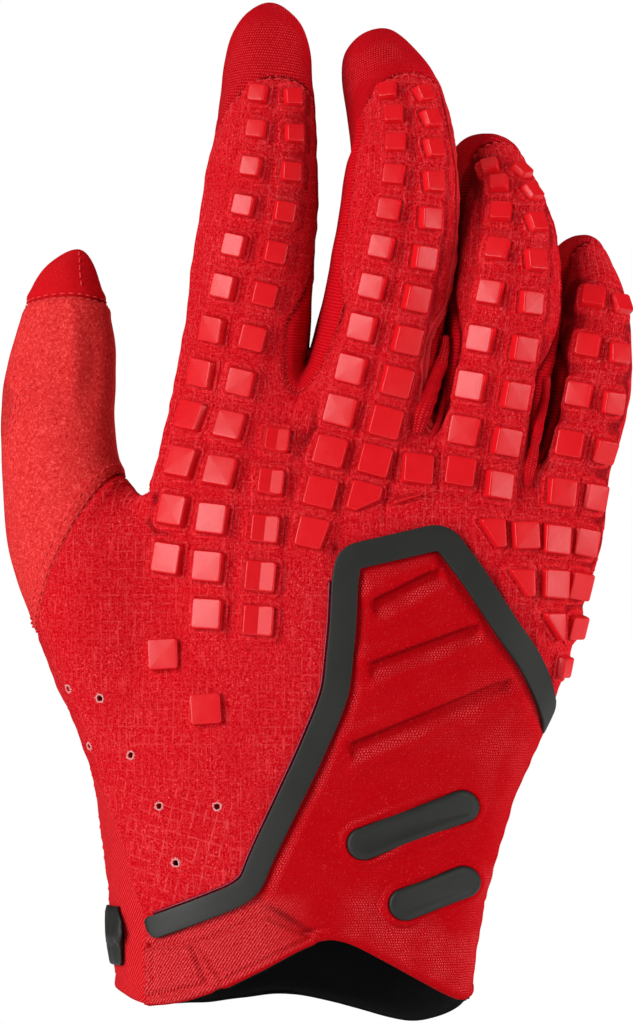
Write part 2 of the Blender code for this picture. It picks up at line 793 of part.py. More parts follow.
def band(name, surface, centres, half_widths, low, high, chamfer, group, material, crown=False):
    """A strip that follows the surface along a line of points, from low to high above it."""
    rows = []
    for point, normal, a, b in stations(surface, centres, half_widths):
        inward = unit(b - a)
        ring = [a + normal * low, a + normal * (high - chamfer)]
        if chamfer > 0.0:
            ring.append(a + inward * chamfer + normal * high)
        if crown:
            ring.append(point + normal * high)
        if chamfer > 0.0:
            ring.append(b - inward * chamfer + normal * high)
        ring += [b + normal * (high - chamfer), b + normal * low]
        if crown:
            ring.append(point + normal * low)
        rows.append(ring)
    return tube_of_sections(name, rows, group, material)


def on_back_line(surface, line):
    return [surface.hit(x, z)[0] for x, z in line]


def rounded_widths(centres, half, start=True, end=True):
    """Half width at each centre, falling off as a round end."""
    steps = [0.0]
    for a, b in zip(centres, centres[1:]):
        steps.append(steps[-1] + np.linalg.norm(b - a))
    out = []
    for s in steps:
        reach = min(s if start else half, steps[-1] - s if end else half, half)
        out.append(max(math.sqrt(max(half**2 - (half - reach) ** 2, 0.0)), 0.35 * half))
    return out


def face_out(obj):
    mesh = bmesh.new()
    mesh.from_mesh(obj.data)
    bmesh.ops.recalc_face_normals(mesh, faces=mesh.faces)
    if mesh.calc_volume(signed=True) < 0.0:
        bmesh.ops.reverse_faces(mesh, faces=mesh.faces)
    mesh.to_mesh(obj.data)
    mesh.free()


def cubic_points(count, controls):
    """Points of a column whose cubic passes through four control points at equal parameters."""
    out = []
    knots = (0.0, 1.0 / 3.0, 2.0 / 3.0, 1.0)
    for k in range(count):
        t = k / max(count - 1, 1)
        x = z = 0.0
        for i, (cx, cz) in enumerate(controls):
            weight = 1.0
            for j, knot in enumerate(knots):
                if j != i:
                    weight *= (t - knot) / (knots[i] - knot)
            x += weight * across(cx)
            z += weight * up(cz)
        out.append((x, z))
    return out


def block_places():
    """(x, z, direction of the column, side) of every block."""
    places = []
    for _, count, first, last, *controls in BLOCK_COLUMNS:
        column = cubic_points(count, controls)
        for k, (x, z) in enumerate(column):
            before = column[max(k - 1, 0)]
            after = column[min(k + 1, count - 1)]
            share = first + (last - first) * k / max(count - 1, 1)
            places.append((x, z, (after[0] - before[0], after[1] - before[1]), share))
    for x, z, share in SINGLE_BLOCKS:
        places.append((across(x), up(z), (0.02, -0.1), share))
    return places


def add_blocks(surface, group):
    """All the raised blocks as one cutter object of separate frusta."""
    points, faces = [], []
    for x, z, heading, share in block_places():
        side = BLOCK_SIDE_SMALL + (BLOCK_SIDE_LARGE - BLOCK_SIDE_SMALL) * share
        point, normal = surface.on_back(x, z)
        along = np.array([heading[0], 0.0, heading[1]])
        along = unit(along - normal * along.dot(normal))
        over = np.cross(normal, along)
        first = len(points)
        for height, half in ((-BLOCK_SINK, 0.5 * side), (BLOCK_HEIGHT, 0.5 * side * BLOCK_TOP_SHARE)):
            for a, b in ((-1, -1), (1, -1), (1, 1), (-1, 1)):
                points.append(point + normal * height + (along * a + over * b) * half)
        faces.append(tuple(first + k for k in (3, 2, 1, 0)))
        faces.append(tuple(first + k for k in (4, 5, 6, 7)))
        for k in range(4):
            n = (k + 1) % 4
            faces.append((first + k, first + n, first + 4 + n, first + 4 + k))
    obj = mesh_object("block_field", points, faces, group, smooth=False)
    face_out(obj)
    return as_cutter(obj)


def trim_line(surface, longer=0.0):
    """Points of the surface along the trim, run on at both ends by a clearance."""
    line = [np.array((across(x), up(z))) for x, z in TRIM_LINE]
    line[0] = line[0] + unit(line[0] - line[1]) * longer
    line[-1] = line[-1] + unit(line[-1] - line[-2]) * longer
    return on_back_line(surface, sampled(line, TRIM_STEP))


def wrist_outline(inset):
    """Outline of the wrist pad: the trim's centre line closed round the right side and the cuff."""
    line = [(across(x), up(z)) for x, z in TRIM_LINE]
    moved = offset_line(line, -inset)
    first = np.array(moved[0])
    last = np.array(moved[-1])
    far = OUTLINE_REACH
    low = OUTLINE_FOOT
    foot = across(SIDE_FOOT[0]) + inset
    return moved + [(last[0] + inset, 0.28 * GLOVE_LENGTH), (far, 0.26 * GLOVE_LENGTH), (far, low),
                    (foot, low), (foot, first[1] - TRIM_CLEAR)]


def side_outline(inset):
    """Outline of the lower left side panel."""
    line = [(across(x), up(z)) for x, z in SIDE_LINE]
    moved = offset_line(line, -inset)
    foot = across(SIDE_FOOT[0]) - inset
    far = -OUTLINE_REACH
    low = OUTLINE_FOOT
    return [(far, moved[0][1]), *moved[:-1], (foot, moved[-1][1]), (foot, low), (far, low)]


def make_back(surface, cutters, group, materials):
    """Woven back, wrist pad and lower left side, parted from one wall by straight cuts along Y."""
    names = ("back_panel", "wrist_panel", "side_panel")
    slots = ("woven", "knit", "knit")
    half_gap = 0.5 * SEAM_GAP
    pieces = []
    for name, slot in zip(names, slots):
        pieces.append(panel(name, surface, {BACK}, group, materials[slot]))
    back, wrist, side = pieces
    wrist_hole = prism("wrist_hole", wrist_outline(-half_gap), -CUT_REACH, CUT_REACH, cutters)
    wrist_keep = prism("wrist_keep", wrist_outline(half_gap), -CUT_REACH, CUT_REACH, cutters)
    side_hole = prism("side_hole", side_outline(-half_gap), -CUT_REACH, CUT_REACH, cutters)
    side_keep = prism("side_keep", side_outline(half_gap), -CUT_REACH, CUT_REACH, cutters)
    blocks = add_blocks(surface, cutters)
    vents = vent_cutters(surface, cutters)
    boolean(back, blocks, "UNION")
    boolean(back, vents, "DIFFERENCE")
    boolean(back, wrist_hole, "DIFFERENCE")
    boolean(back, side_hole, "DIFFERENCE")
    boolean(wrist, wrist_keep, "INTERSECT")
    boolean(wrist, side_hole, "DIFFERENCE")
    boolean(side, side_keep, "INTERSECT")
    line = trim_line(surface, TRIM_GAP)
    wide = [0.5 * TRIM_WIDTH + TRIM_GAP] * len(line)
    channel = band("trim_channel", surface, line, wide, -TRIM_SUNK - TRIM_GAP, TRIM_CLEAR, 0.0,
                   cutters, None)
    as_cutter(channel)
    boolean(back, channel, "DIFFERENCE")
    boolean(wrist, channel, "DIFFERENCE")
    boolean(side, channel, "DIFFERENCE")
    for number, ends in enumerate(GROOVES):
        boolean(wrist, groove_cutter(f"groove_{number}", surface, ends, cutters), "DIFFERENCE")
    for piece in pieces:
        apply_modifiers(piece)
    return pieces


def vent_cutters(surface, group):
    """Short round pins through the wall at every vent, as one cutter."""
    mesh = bmesh.new()
    for x, z in VENTS:
        point, normal = surface.on_back(across(x), up(z))
        turn = Vector(normal).to_track_quat("Z", "Y").to_matrix().to_4x4()
        turn.translation = Vector(point)
        bmesh.ops.create_cone(
            mesh, cap_ends=True, segments=8, radius1=0.5 * VENT_DIAMETER, radius2=0.5 * VENT_DIAMETER,
            depth=4.0 * WALL, matrix=turn,
        )
    data = bpy.data.meshes.new("vent_pins")
    mesh.to_mesh(data)
    mesh.free()
    obj = bpy.data.objects.new("vent_pins", data)
    group.objects.link(obj)
    return as_cutter(obj)


def groove_cutter(name, surface, ends, group):
    """A wedge along a flex groove: steep on its upper side, easing out below, run out at both ends."""
    x0, z0, x1, z1 = ends
    line = sampled([(across(x0), up(z0)), (across(x1), up(z1))], GROOVE_STEP)
    centres = on_back_line(surface, line)
    last = len(centres) - 1
    rows = []
    for k, (point, normal, a, b) in enumerate(stations(surface, centres, [GROOVE_HALF_HEIGHT] * (last + 1))):
        share = max(math.sin(math.pi * (k + 0.35) / (last + 0.7)), 0.0) ** 0.5
        depth = GROOVE_DEPTH * share
        rim = normal * GROOVE_RIM
        upper, lower = (a, b) if a[2] > b[2] else (b, a)
        shoulder = point + (upper - point) * 0.55
        rows.append((upper + rim, upper + normal * 0.0001, shoulder - normal * depth,
                     lower + normal * 0.0001, lower + rim))
    return as_cutter(tube_of_sections(name, rows, group, None))


def make_bar(name, surface, x, z, length, group, material):
    """A plain rubber bar with round ends, lying along the slope of the grooves."""
    slope = math.radians(BAR_SLOPE)
    reach = np.array([math.cos(slope), math.sin(slope)]) * 0.5 * length
    middle = np.array([across(x), up(z)])
    half = 0.5 * BAR_WIDTH
    shares = (0.0, 0.06, 0.14, 0.26, 0.42, 0.58, 0.74, 0.86, 0.94, 1.0)
    line = [tuple(middle - reach + 2.0 * reach * t) for t in shares]
    centres = on_back_line(surface, line)
    widths = rounded_widths(centres, half)
    return band(name, surface, centres, widths, BAR_LIFT, BAR_PROUD, RUBBER_CHAMFER, group, material)


def make_strap(surface, group, material):
    """The closure: a plain strap round the palm side whose end shows at the left edge."""
    height = up(STRAP_HEIGHT)
    axis = np.array([0.0, 0.0, height])
    centres = []
    for k in range(STRAP_STEPS + 1):
        angle = math.radians(STRAP_FROM + (STRAP_TO - STRAP_FROM) * k / STRAP_STEPS)
        out = np.array([math.cos(angle), math.sin(angle), 0.0])
        start = axis + out * RAY_START
        hit = surface.tree.ray_cast(Vector(start), Vector(-out))[0]
        centres.append(np.array(hit))
    widths = rounded_widths(centres, 0.5 * STRAP_WIDTH, start=False)
    return band("closure_tab", surface, centres, widths, STRAP_LIFT, STRAP_LIFT + STRAP_THICKNESS,
                STRAP_CHAMFER, group, material, crown=True)


def make_lining(outside, group, cutters, material):
    """The black sleeve inside the cuff, following its notch."""
    cage = Cage()
    rings = hand_rings(cage)[:LINING_ROWS]
    sleeve = Cage()
    count = max(rings[-1]) + 1
    sleeve.points = [tuple(outside.frame_at(p)[0]) for p in cage.points[:count]]
    for low, high in zip(rings, rings[1:]):
        sleeve.join_rings(low, high, [BACK] * 20)
    surface = Surface(sleeve, cutters, levels=0, name="lining_cage")
    return panel("cuff_lining", surface, {BACK}, group, material, -(WALL + LINING_GAP), LINING_WALL, 1.0)


def main():
    clear_scene()
    glove = make_collection("riding_glove")
    cutters = make_collection("cutters")
    materials = {name: make_material(name) for name in COLOURS}
    surface = Surface(build_cage(), cutters)
    for name, region, slot, flat in PANELS:
        panel(name, surface, {region}, glove, materials[slot], flat=flat)
    make_back(surface, cutters, glove, materials)
    rubber = materials["rubber_black"]
    line = trim_line(surface)
    widths = rounded_widths(line, 0.5 * TRIM_WIDTH, end=False)
    band("wrist_trim", surface, line, widths, -TRIM_SUNK, TRIM_PROUD, RUBBER_CHAMFER, glove, rubber)
    for name, x, z, length in BARS:
        make_bar(name, surface, x, z, length, glove, rubber)
    make_strap(surface, glove, materials["lining_black"])
    make_lining(surface, glove, cutters, materials["lining_black"])


main()
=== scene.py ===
"""Looks of the right-hand riding glove: cloth, rubber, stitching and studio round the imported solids."""

from math import acos, cos, dist, pi, radians, sin, tan

import bpy
import numpy as np
from numpy.linalg import norm
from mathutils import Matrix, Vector
from mathutils.bvhtree import BVHTree
from mathutils.kdtree import KDTree


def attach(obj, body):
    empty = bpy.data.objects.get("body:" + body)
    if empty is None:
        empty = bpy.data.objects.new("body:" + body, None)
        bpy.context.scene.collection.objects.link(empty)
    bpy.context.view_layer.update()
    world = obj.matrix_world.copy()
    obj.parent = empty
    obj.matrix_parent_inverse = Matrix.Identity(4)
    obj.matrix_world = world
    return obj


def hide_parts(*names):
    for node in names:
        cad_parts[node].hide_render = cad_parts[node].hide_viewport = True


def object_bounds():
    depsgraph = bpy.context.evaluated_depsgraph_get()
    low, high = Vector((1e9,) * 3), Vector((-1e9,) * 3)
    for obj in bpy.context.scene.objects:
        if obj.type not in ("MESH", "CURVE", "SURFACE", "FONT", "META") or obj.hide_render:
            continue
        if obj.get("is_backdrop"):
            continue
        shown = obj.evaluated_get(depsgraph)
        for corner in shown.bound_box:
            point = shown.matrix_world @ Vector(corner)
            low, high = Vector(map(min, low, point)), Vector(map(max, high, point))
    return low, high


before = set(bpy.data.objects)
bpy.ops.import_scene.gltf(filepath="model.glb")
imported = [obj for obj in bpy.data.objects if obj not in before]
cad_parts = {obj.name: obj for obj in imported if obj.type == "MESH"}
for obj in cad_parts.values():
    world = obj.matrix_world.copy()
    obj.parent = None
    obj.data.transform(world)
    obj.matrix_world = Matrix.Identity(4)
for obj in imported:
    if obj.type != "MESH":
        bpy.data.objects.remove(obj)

CAD_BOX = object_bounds()
LEVELS = 4

# Overall sizes of the solids in metres. Table entries are shares of these unless a column says otherwise.
GLOVE_LENGTH = 0.2355
GLOVE_WIDTH = 0.1456
GLOVE_DEPTH = 0.060

# Outward allowance for the shrinkage of a subdivided ring
RING_8 = 1.105
RING_10 = 1.065
RING_20 = 1.015
TIP_REACH = 2.1

# Regions of the base surface
BACK, PALM, GUSSET_1, GUSSET_2, GUSSET_3, STRIP, THUMB, THUMB_TIP = range(8)
CAP_1, CAP_2, CAP_3, CAP_4 = range(8, 12)

# Fingers: up, left, right, depth, thickness, roll in degrees
INDEX = (
    (0.673, -0.167, 0.033, -0.017, 0.467, -10),
    (0.734, -0.153, 0.035, -0.033, 0.450, -5),
    (0.793, -0.139, 0.044, -0.033, 0.433, 3),
    (0.849, -0.126, 0.043, -0.017, 0.417, 8),
    (0.891, -0.115, 0.036, 0.017, 0.392, 12),
    (0.939, -0.104, 0.035, 0.058, 0.342, 12),
    (0.977, -0.091, 0.026, 0.100, 0.233, 12),
)
MIDDLE = (
    (0.686, 0.047, 0.246, -0.050, 0.467, 5),
    (0.744, 0.066, 0.258, -0.067, 0.458, 9),
    (0.800, 0.081, 0.267, -0.050, 0.450, 12),
    (0.849, 0.088, 0.262, 0.000, 0.425, 14),
    (0.885, 0.090, 0.250, 0.067, 0.392, 16),
    (0.924, 0.078, 0.227, 0.150, 0.333, 16),
    (0.952, 0.080, 0.194, 0.225, 0.242, 16),
)
RING = (
    (0.624, 0.232, 0.409, 0.017, 0.450, 0),
    (0.686, 0.243, 0.427, 0.000, 0.450, 3),
    (0.741, 0.253, 0.431, 0.033, 0.442, 10),
    (0.785, 0.251, 0.412, 0.133, 0.417, 16),
    (0.814, 0.246, 0.385, 0.267, 0.383, 22),
    (0.835, 0.243, 0.353, 0.408, 0.325, 24),
    (0.848, 0.251, 0.326, 0.517, 0.233, 24),
)
LITTLE = (
    (0.598, 0.397, 0.536, 0.117, 0.417, 8),
    (0.650, 0.404, 0.543, 0.117, 0.408, 17),
    (0.695, 0.403, 0.534, 0.175, 0.392, 28),
    (0.720, 0.400, 0.505, 0.283, 0.367, 32),
    (0.736, 0.402, 0.482, 0.400, 0.325, 32),
    (0.747, 0.410, 0.462, 0.517, 0.242, 32),
)

# One row per finger: table, tip (across, up, depth), row of the cap seam, first knuckle column,
# regions of its left side, right side and cap
FINGERS = (
    ("index", INDEX, (-0.035, 1.000, 0.125), 4, 0, STRIP, GUSSET_1, CAP_1),
    ("middle", MIDDLE, (0.145, 0.974, 0.283), 4, 2, GUSSET_1, GUSSET_2, CAP_2),
    ("ring", RING, (0.282, 0.855, 0.583), 4, 4, GUSSET_2, GUSSET_3, CAP_3),
    ("little", LITTLE, (0.438, 0.754, 0.583), 3, 6, GUSSET_3, BACK, CAP_4),
)

# Rise of the cap seam at left side, back left, back, back right, right side, palm right, palm, palm left
CAP_ARCH = (-0.053, 0.016, 0.042, 0.030, -0.011, -0.020, -0.020, -0.030)

# Thumb: inner across, inner up, outer across, outer up, depth, thickness, shift of the back to the tip
THUMB_ROWS = (
    (-0.240, 0.518, -0.350, 0.312, 0.033, 0.600, 0.000),
    (-0.263, 0.534, -0.397, 0.375, 0.067, 0.550, 0.014),
    (-0.274, 0.567, -0.446, 0.450, 0.100, 0.483, 0.006),
    (-0.280, 0.602, -0.458, 0.541, 0.117, 0.433, 0.000),
    (-0.276, 0.644, -0.461, 0.614, 0.133, 0.408, 0.000),
    (-0.277, 0.676, -0.438, 0.674, 0.133, 0.367, 0.000),
    (-0.289, 0.702, -0.417, 0.701, 0.142, 0.325, 0.010),
    (-0.304, 0.733, -0.405, 0.735, 0.150, 0.233, 0.000),
)
THUMB_TIP_POINT = (-0.338, 0.757, 0.158)
THUMB_SEAM_ROW = 1
THUMB_CAP_ROW = 6
# Sides of a ring of the hand: their count, the last one of the back, the two beside the left edge
HAND_SIDES = 20
LAST_BACK_SIDE = 9
LEFT_SIDES = (0, 19)
# Rings without a point at the left edge, rings below the faces of the thumb's hole, first ring of the strip
OPEN_RINGS = (5, 6)
HOLE_RINGS = (4, 5, 6)
STRIP_RING = 7
# Rings and columns of the hand's points round the hole for the thumb
THUMB_HOLE = ((7, 1), (7, 0), (7, 19), (6, 19), (5, 19), (4, 19), (4, 0), (4, 1), (5, 1), (6, 1))

# Knuckle line, left side to right side: across, up on the back, up on the palm, depth back, depth palm
KNUCKLES = (
    (-0.188, 0.609, 0.609, -0.017, -0.017),
    (-0.179, 0.607, 0.611, -0.085, 0.110),
    (-0.082, 0.607, 0.617, -0.225, 0.200),
    (0.003, 0.596, 0.623, -0.208, 0.183),
    (0.111, 0.586, 0.607, -0.258, 0.200),
    (0.218, 0.559, 0.588, -0.208, 0.200),
    (0.303, 0.547, 0.570, -0.208, 0.242),
    (0.382, 0.521, 0.553, -0.133, 0.250),
    (0.439, 0.525, 0.549, -0.108, 0.300),
    (0.487, 0.529, 0.541, -0.017, 0.233),
    (0.507, 0.535, 0.535, 0.100, 0.100),
)
# Bottom of the gap between neighbouring fingers: across, up, depth
WEBS = {2: (0.035, 0.656, 0.000), 4: (0.234, 0.624, 0.020), 6: (0.404, 0.595, 0.110)}

# Cuff edge, left side to right side: across, up on the back, up on the palm
CUFF = (
    (-0.290, 0.045, 0.045),
    (-0.240, 0.021, 0.020),
    (-0.166, 0.026, 0.020),
    (-0.095, 0.045, 0.023),
    (-0.019, 0.069, 0.031),
    (0.058, 0.096, 0.025),
    (0.130, 0.074, 0.012),
    (0.199, 0.051, 0.001),
    (0.253, 0.032, 0.012),
    (0.278, 0.025, 0.023),
    (0.284, 0.033, 0.033),
)

# Hand from the wrist up: up at left, up at right, left, right, depth of the middle, thickness,
# drop of the right side, share of the knuckle spacing
HAND_ROWS = (
    (0.132, 0.132, -0.291, 0.313, 0.000, 0.80, 0.00, 0.00),
    (0.185, 0.185, -0.304, 0.332, 0.000, 0.79, 0.00, 0.10),
    (0.248, 0.252, -0.312, 0.370, 0.000, 0.77, 0.02, 0.25),
    (0.345, 0.335, -0.253, 0.438, 0.000, 0.74, 0.05, 0.50),
    (0.432, 0.405, -0.221, 0.463, -0.005, 0.68, 0.08, 0.75),
    (0.513, 0.450, -0.224, 0.487, -0.010, 0.62, 0.10, 1.00),
    (0.562, 0.492, -0.205, 0.501, -0.010, 0.54, 0.10, 1.00),
)
CUFF_THICKNESS = 0.80
# Shares up below which the open edge lies, rims of panels bulge, and points know how near the edge is
EDGE_BELOW = 0.11
BULGE_BELOW = 0.125
NEAR_BELOW = 0.16
WRIST_SPACING = (-0.90, -0.68, -0.46, -0.23, 0.00, 0.23, 0.46, 0.68, 0.90)
KNUCKLE_SPACING = (-0.962, -0.72, -0.46, -0.16, 0.13, 0.385, 0.62, 0.80, 0.94)
SECTION_POWER = 2.3

# Panels of the back parted by drawn lines, and the count of region numbers
WRIST, SIDE = 12, 13
LINED = 16
LINING_ROWS = 3
BACKS = (BACK, WRIST, SIDE)
CAPS = (CAP_1, CAP_2, CAP_3, CAP_4)
SEAM_DEPTH = 0.00055
SEAM_PUFF = 0.00026
# How far points move to part two panels along a drawn line
SNAP_REACH = 0.00045 if LEVELS == 4 else 0.0009

# Stitches along the seams: region they lie on, region across, distance from the seam, length, gap
SEAM_STITCHES = (
    *((BACK, cap, 0.0009, 0.0015, 0.0007) for cap in CAPS),
    (BACK, STRIP, 0.0008, 0.0013, 0.0009),
    (THUMB, BACK, 0.0008, 0.0015, 0.0008),
    (THUMB, BACK, 0.0023, 0.0015, 0.0008),
    (THUMB, PALM, 0.0010, 0.0015, 0.0008),
    (THUMB, THUMB_TIP, 0.0008, 0.0014, 0.0007),
    (THUMB_TIP, THUMB, 0.0008, 0.0014, 0.0007),
    (SIDE, PALM, 0.0010, 0.0016, 0.0008),
    (BACK, PALM, 0.0010, 0.0016, 0.0009),
    (STRIP, PALM, 0.0009, 0.0015, 0.0009),
)
# Other stitched lines of the back: points across, up, and the distances to the side of one row or two
DRAWN_STITCHES = (
    (((-0.335, 0.756), (-0.333, 0.735), (-0.330, 0.713)), (0.0,)),
    (((-0.452, 0.640), (-0.431, 0.617), (-0.436, 0.593), (-0.452, 0.570)), (0.0, 0.0013)),
)

# Rings of a bar and of its rim: radius from its middle line, height, and the lift of both over the wrist
BAR_RINGS = (
    (0.00370, -0.0006), (0.00370, 0.0007), (0.00362, 0.0010), (0.00340, 0.00122), (0.00300, 0.0013),
    (0.00180, 0.00134),
)
RIM_RINGS = (
    (0.00366, -0.0002), (0.00372, 0.0004), (0.00392, 0.00068), (0.00430, 0.00078), (0.00480, 0.0006),
    (0.00530, 0.0002), (0.00560, -0.0004), (0.00575, -0.0012),
)
BAR_LIFT = 0.0008
BAR_POINTS = 40
GRID_PITCH = 2.0
WIDE_PITCH = 1.35 * GRID_PITCH
GRID_TURN = -15.0
TWILL_ACROSS = (0.766, -0.643)
TRIM_CORNERS = (0.0008, 0.0025)
# Section of the strap: share of half the width, share of the thickness, and how far short of the end it stops
STRAP_SECTION = (
    (-1.00, -0.10, 0.0034), (-1.00, 0.70, 0.0034), (-0.96, 0.92, 0.0031), (-0.90, 1.00, 0.0023),
    (-0.40, 1.04, 0.0020), (-0.26, 1.06, 0.0021), (-0.22, 1.80, 0.0014), (0.02, 2.10, 0.0003),
    (0.16, 2.00, 0.0000), (0.50, 1.10, 0.0012), (0.80, 1.00, 0.0024), (0.86, 0.92, 0.0031),
    (1.00, 0.70, 0.0032), (1.00, -0.10, 0.0032), (0.00, -0.10, 0.0020),
)
STRAP_PLAIN = 1.06
STRAP_FOOT = 0.0003
# Grip ribs by the strap's end: height, spacing and how far they reach, and the even rise beyond them
RIB_RISE = 0.0005
RIB_PITCH = 0.0042
RIB_REACH = 0.019
PLAIN_RISE = 0.0004
STRAP_THICK = 0.0009
# Seams with raised welts, and their ridges: distance into the back, radius, height of the middle
WELT_SEAMS = ((BACK, GUSSET_2), (BACK, GUSSET_3))
WELT_RIDGES = ((0.0002, 0.00085, 0.00000), (0.0018, 0.00046, 0.00004))
WELT_WANDER = 0.0006
# Soft folds at the roots of the fingers: the greatest radius, and points across, up
FOLDS = (
    (0.00245, ((0.246, 0.672), (0.244, 0.658), (0.237, 0.643), (0.227, 0.627), (0.217, 0.611), (0.207, 0.594),
               (0.199, 0.576))),
    (0.00100, ((0.247, 0.624), (0.243, 0.612), (0.238, 0.598), (0.231, 0.583), (0.219, 0.571))),
    (0.00150, ((0.408, 0.632), (0.403, 0.609), (0.393, 0.585), (0.384, 0.561), (0.377, 0.540),
               (0.373, 0.524))),
)
# How far a fold hangs past the finger's edge and behind it, its sides and the spacing along it
FOLD_OUT = 0.0030
FOLD_SINK = 0.0012
FOLD_SIDES = 14
FOLD_STEP = 0.0005
# Seams with frayed edges, and the reach of the back's cloth round the fingers: region, side (-1 left),
# height of the gap's bottom, least share facing outward
FRAY_SPREAD = 0.00025
FRAY_LENGTHS = (0.00018, 0.00038)
FRAY_RADII = (0.00007, 0.00012)
FRAYED_SEAMS = ((BACK, GUSSET_1), (BACK, STRIP), (BACK, CAP_1), (BACK, CAP_2), (BACK, SIDE))
BACK_REACH = (
    (STRIP, -1, 0.45, 0.18),
    (GUSSET_1, 1, 0.656, 0.12),
    (GUSSET_1, -1, 0.656, 0.50),
    (GUSSET_2, 1, 0.624, 0.12),
    (GUSSET_2, -1, 0.624, 0.45),
    (GUSSET_3, 1, 0.595, 0.12),
    (GUSSET_3, -1, 0.595, 0.45),
)
REACH_FADE = 0.100

CLOTH = {"roughness": 0.9, "specular_ior_level": 0.05}
# Colours: painted shade of the cloth, then lit threads of the weave, its grid and the cuff's ridges
PAINTED_SHADE_RED = (0.075, 0.000, 0.001)
LIT_RED = (0.93, 0.080, 0.090)
GRID_RED = (0.94, 0.110, 0.115)
RIDGE_RED = (0.97, 0.105, 0.115)
# Colours of rubber, sleeve and floor, each from dark to light
BLOCK_REDS = ((0.62, 0.002, 0.007), (0.71, 0.008, 0.013))
LIP_REDS = ((0.14, 0.000, 0.008), (0.30, 0.003, 0.030))
TRIM_BLACKS = ((0.010, 0.011, 0.009), (0.016, 0.017, 0.014))
SLEEVE_BLACKS = ((0.003, 0.003, 0.003), (0.012, 0.012, 0.0125))
FLOOR_GREYS = ((0.78, 0.78, 0.79), (0.84, 0.84, 0.84))
# Columns of blocks from the left, two on each finger and a short one between the first two fingers: fold of
# the tops in degrees, count, side of first and last in shares between small and large, lean to the right of
# the first and the last block and lean to the tips in degrees, and four points (across, up) that a cubic
# passes through at 0, 1/3, 2/3 and 1 of the column
BLOCK_COLUMNS = (
    (0, 12, 0.05, 1.00, -5, -7, 3, (-0.049, 0.906), (-0.080, 0.772), (-0.141, 0.621), (-0.189, 0.455)),
    (0, 13, 0.00, 1.00, -8, -1, 2, (0.002, 0.903), (-0.024, 0.752), (-0.093, 0.583), (-0.127, 0.401)),
    (12.5, 5, 0.50, 1.00, 0, 3, 0, (-0.020, 0.569), (-0.033, 0.514), (-0.044, 0.453), (-0.049, 0.395)),
    (0, 13, 0.00, 1.00, -5, -5, 2, (0.155, 0.908), (0.156, 0.793), (0.098, 0.639), (0.035, 0.479)),
    (0, 12, 0.00, 1.00, 10, -2, 0, (0.207, 0.906), (0.219, 0.797), (0.177, 0.654), (0.116, 0.513)),
    (0, 9, 0.00, 0.90, -6, -4, 2, (0.317, 0.835), (0.330, 0.767), (0.297, 0.653), (0.267, 0.539)),
    (0, 9, 0.00, 0.80, -2, 12, 0, (0.364, 0.831), (0.385, 0.757), (0.361, 0.644), (0.326, 0.526)),
    (0, 7, 0.40, 0.90, 2, 0, 2, (0.479, 0.708), (0.456, 0.614), (0.426, 0.519), (0.414, 0.430)),
    (0, 7, 0.20, 0.80, -10, -16, 0, (0.520, 0.701), (0.507, 0.607), (0.477, 0.515), (0.452, 0.429)),
)
# Blocks that stand alone: across, up, side share, turn of the block to the right in degrees, lean right
SINGLE_BLOCKS = (
    (-0.197, 0.362, 1.0, -3, 9),
    (-0.131, 0.309, 1.0, -4, 9),
    (0.199, 0.541, 1.0, 8, 6),
    (0.183, 0.511, 0.6, 14, 0),
    (0.314, 0.479, 0.9, 0, 4),
    (0.368, 0.477, 0.8, 0, 4),
    (0.361, 0.431, 0.8, 0, -2),
    (0.409, 0.389, 0.8, 0, -8),
    (0.447, 0.389, 0.5, 0, -26),
    (0.426, 0.350, 0.3, 0, 4),
)
# Lines that cut blocks off, from one end to the other with the kept part on the left: across, up
BLOCK_CUTS = (
    (0.046, 0.459, 0.062, 0.486),
    (0.098, 0.498, 0.137, 0.509),
    (0.166, 0.507, 0.197, 0.513),
    (0.200, 0.518, 0.166, 0.512),
    (0.291, 0.493, 0.321, 0.464),
    (0.340, 0.443, 0.371, 0.414),
    (0.392, 0.398, 0.417, 0.373),
)
BLOCK_HEIGHT = 0.0023
BLOCK_SIDE_SMALL = 0.0042
BLOCK_SIDE_LARGE = 0.0072
BLOCK_GROWTH = 1.3
# Share of a block's side from its middle to where a folded top starts to fall
FOLD_REACH = 0.42

# Rings of a block from its foot to its top: inset from the side in metres, corner radius, height,
# share of the flat top's frame against the cloth's own shape
BLOCK_RINGS = (
    (-0.00004, 0.0008, -0.00050, 0.0),
    (0.00000, 0.0008, 0.00020, 0.0),
    (0.00008, 0.0007, 0.00030, 0.5),
    (0.00014, 0.0007, -0.00042, 1.0),
    (0.00016, 0.0007, -0.00022, 1.0),
    (0.00023, 0.0007, -0.00009, 1.0),
    (0.00034, 0.0006, -0.00002, 1.0),
    (0.00055, 0.0004, 0.00000, 1.0),
)
# Rings of the raised cloth collar round a block: inset, corner radius, height, painted shade by the block
# (below zero)
COLLAR_RINGS = (
    (-0.00130, 0.0018, -0.00020, 0.0),
    (-0.00106, 0.0016, 0.00008, 0.0),
    (-0.00090, 0.0015, 0.00025, 0.0),
    (-0.00076, 0.0014, 0.00027, 0.0),
    (-0.00062, 0.0013, 0.00015, -0.10),
    (-0.00046, 0.0011, 0.00008, -0.20),
    (-0.00020, 0.0010, 0.00008, -0.24),
    (0.00014, 0.0008, 0.00006, -0.26),
)
# The cloth's rise round a block, its reach from the middle and the radius of its corners
PAD_LIFT = 0.00065
PAD_REACH = 0.0075
PAD_CORNER = 0.0006
# Unevenness of the lean in degrees, how near a cut line has to pass, and the shortest side that it leaves
LEAN_SPREAD = 1.5
CUT_REACH = 0.0036
SHORTEST_SIDE = 0.0003
BLOCK_CORNER_POINTS = 4
BLOCK_EDGE_POINTS = 3

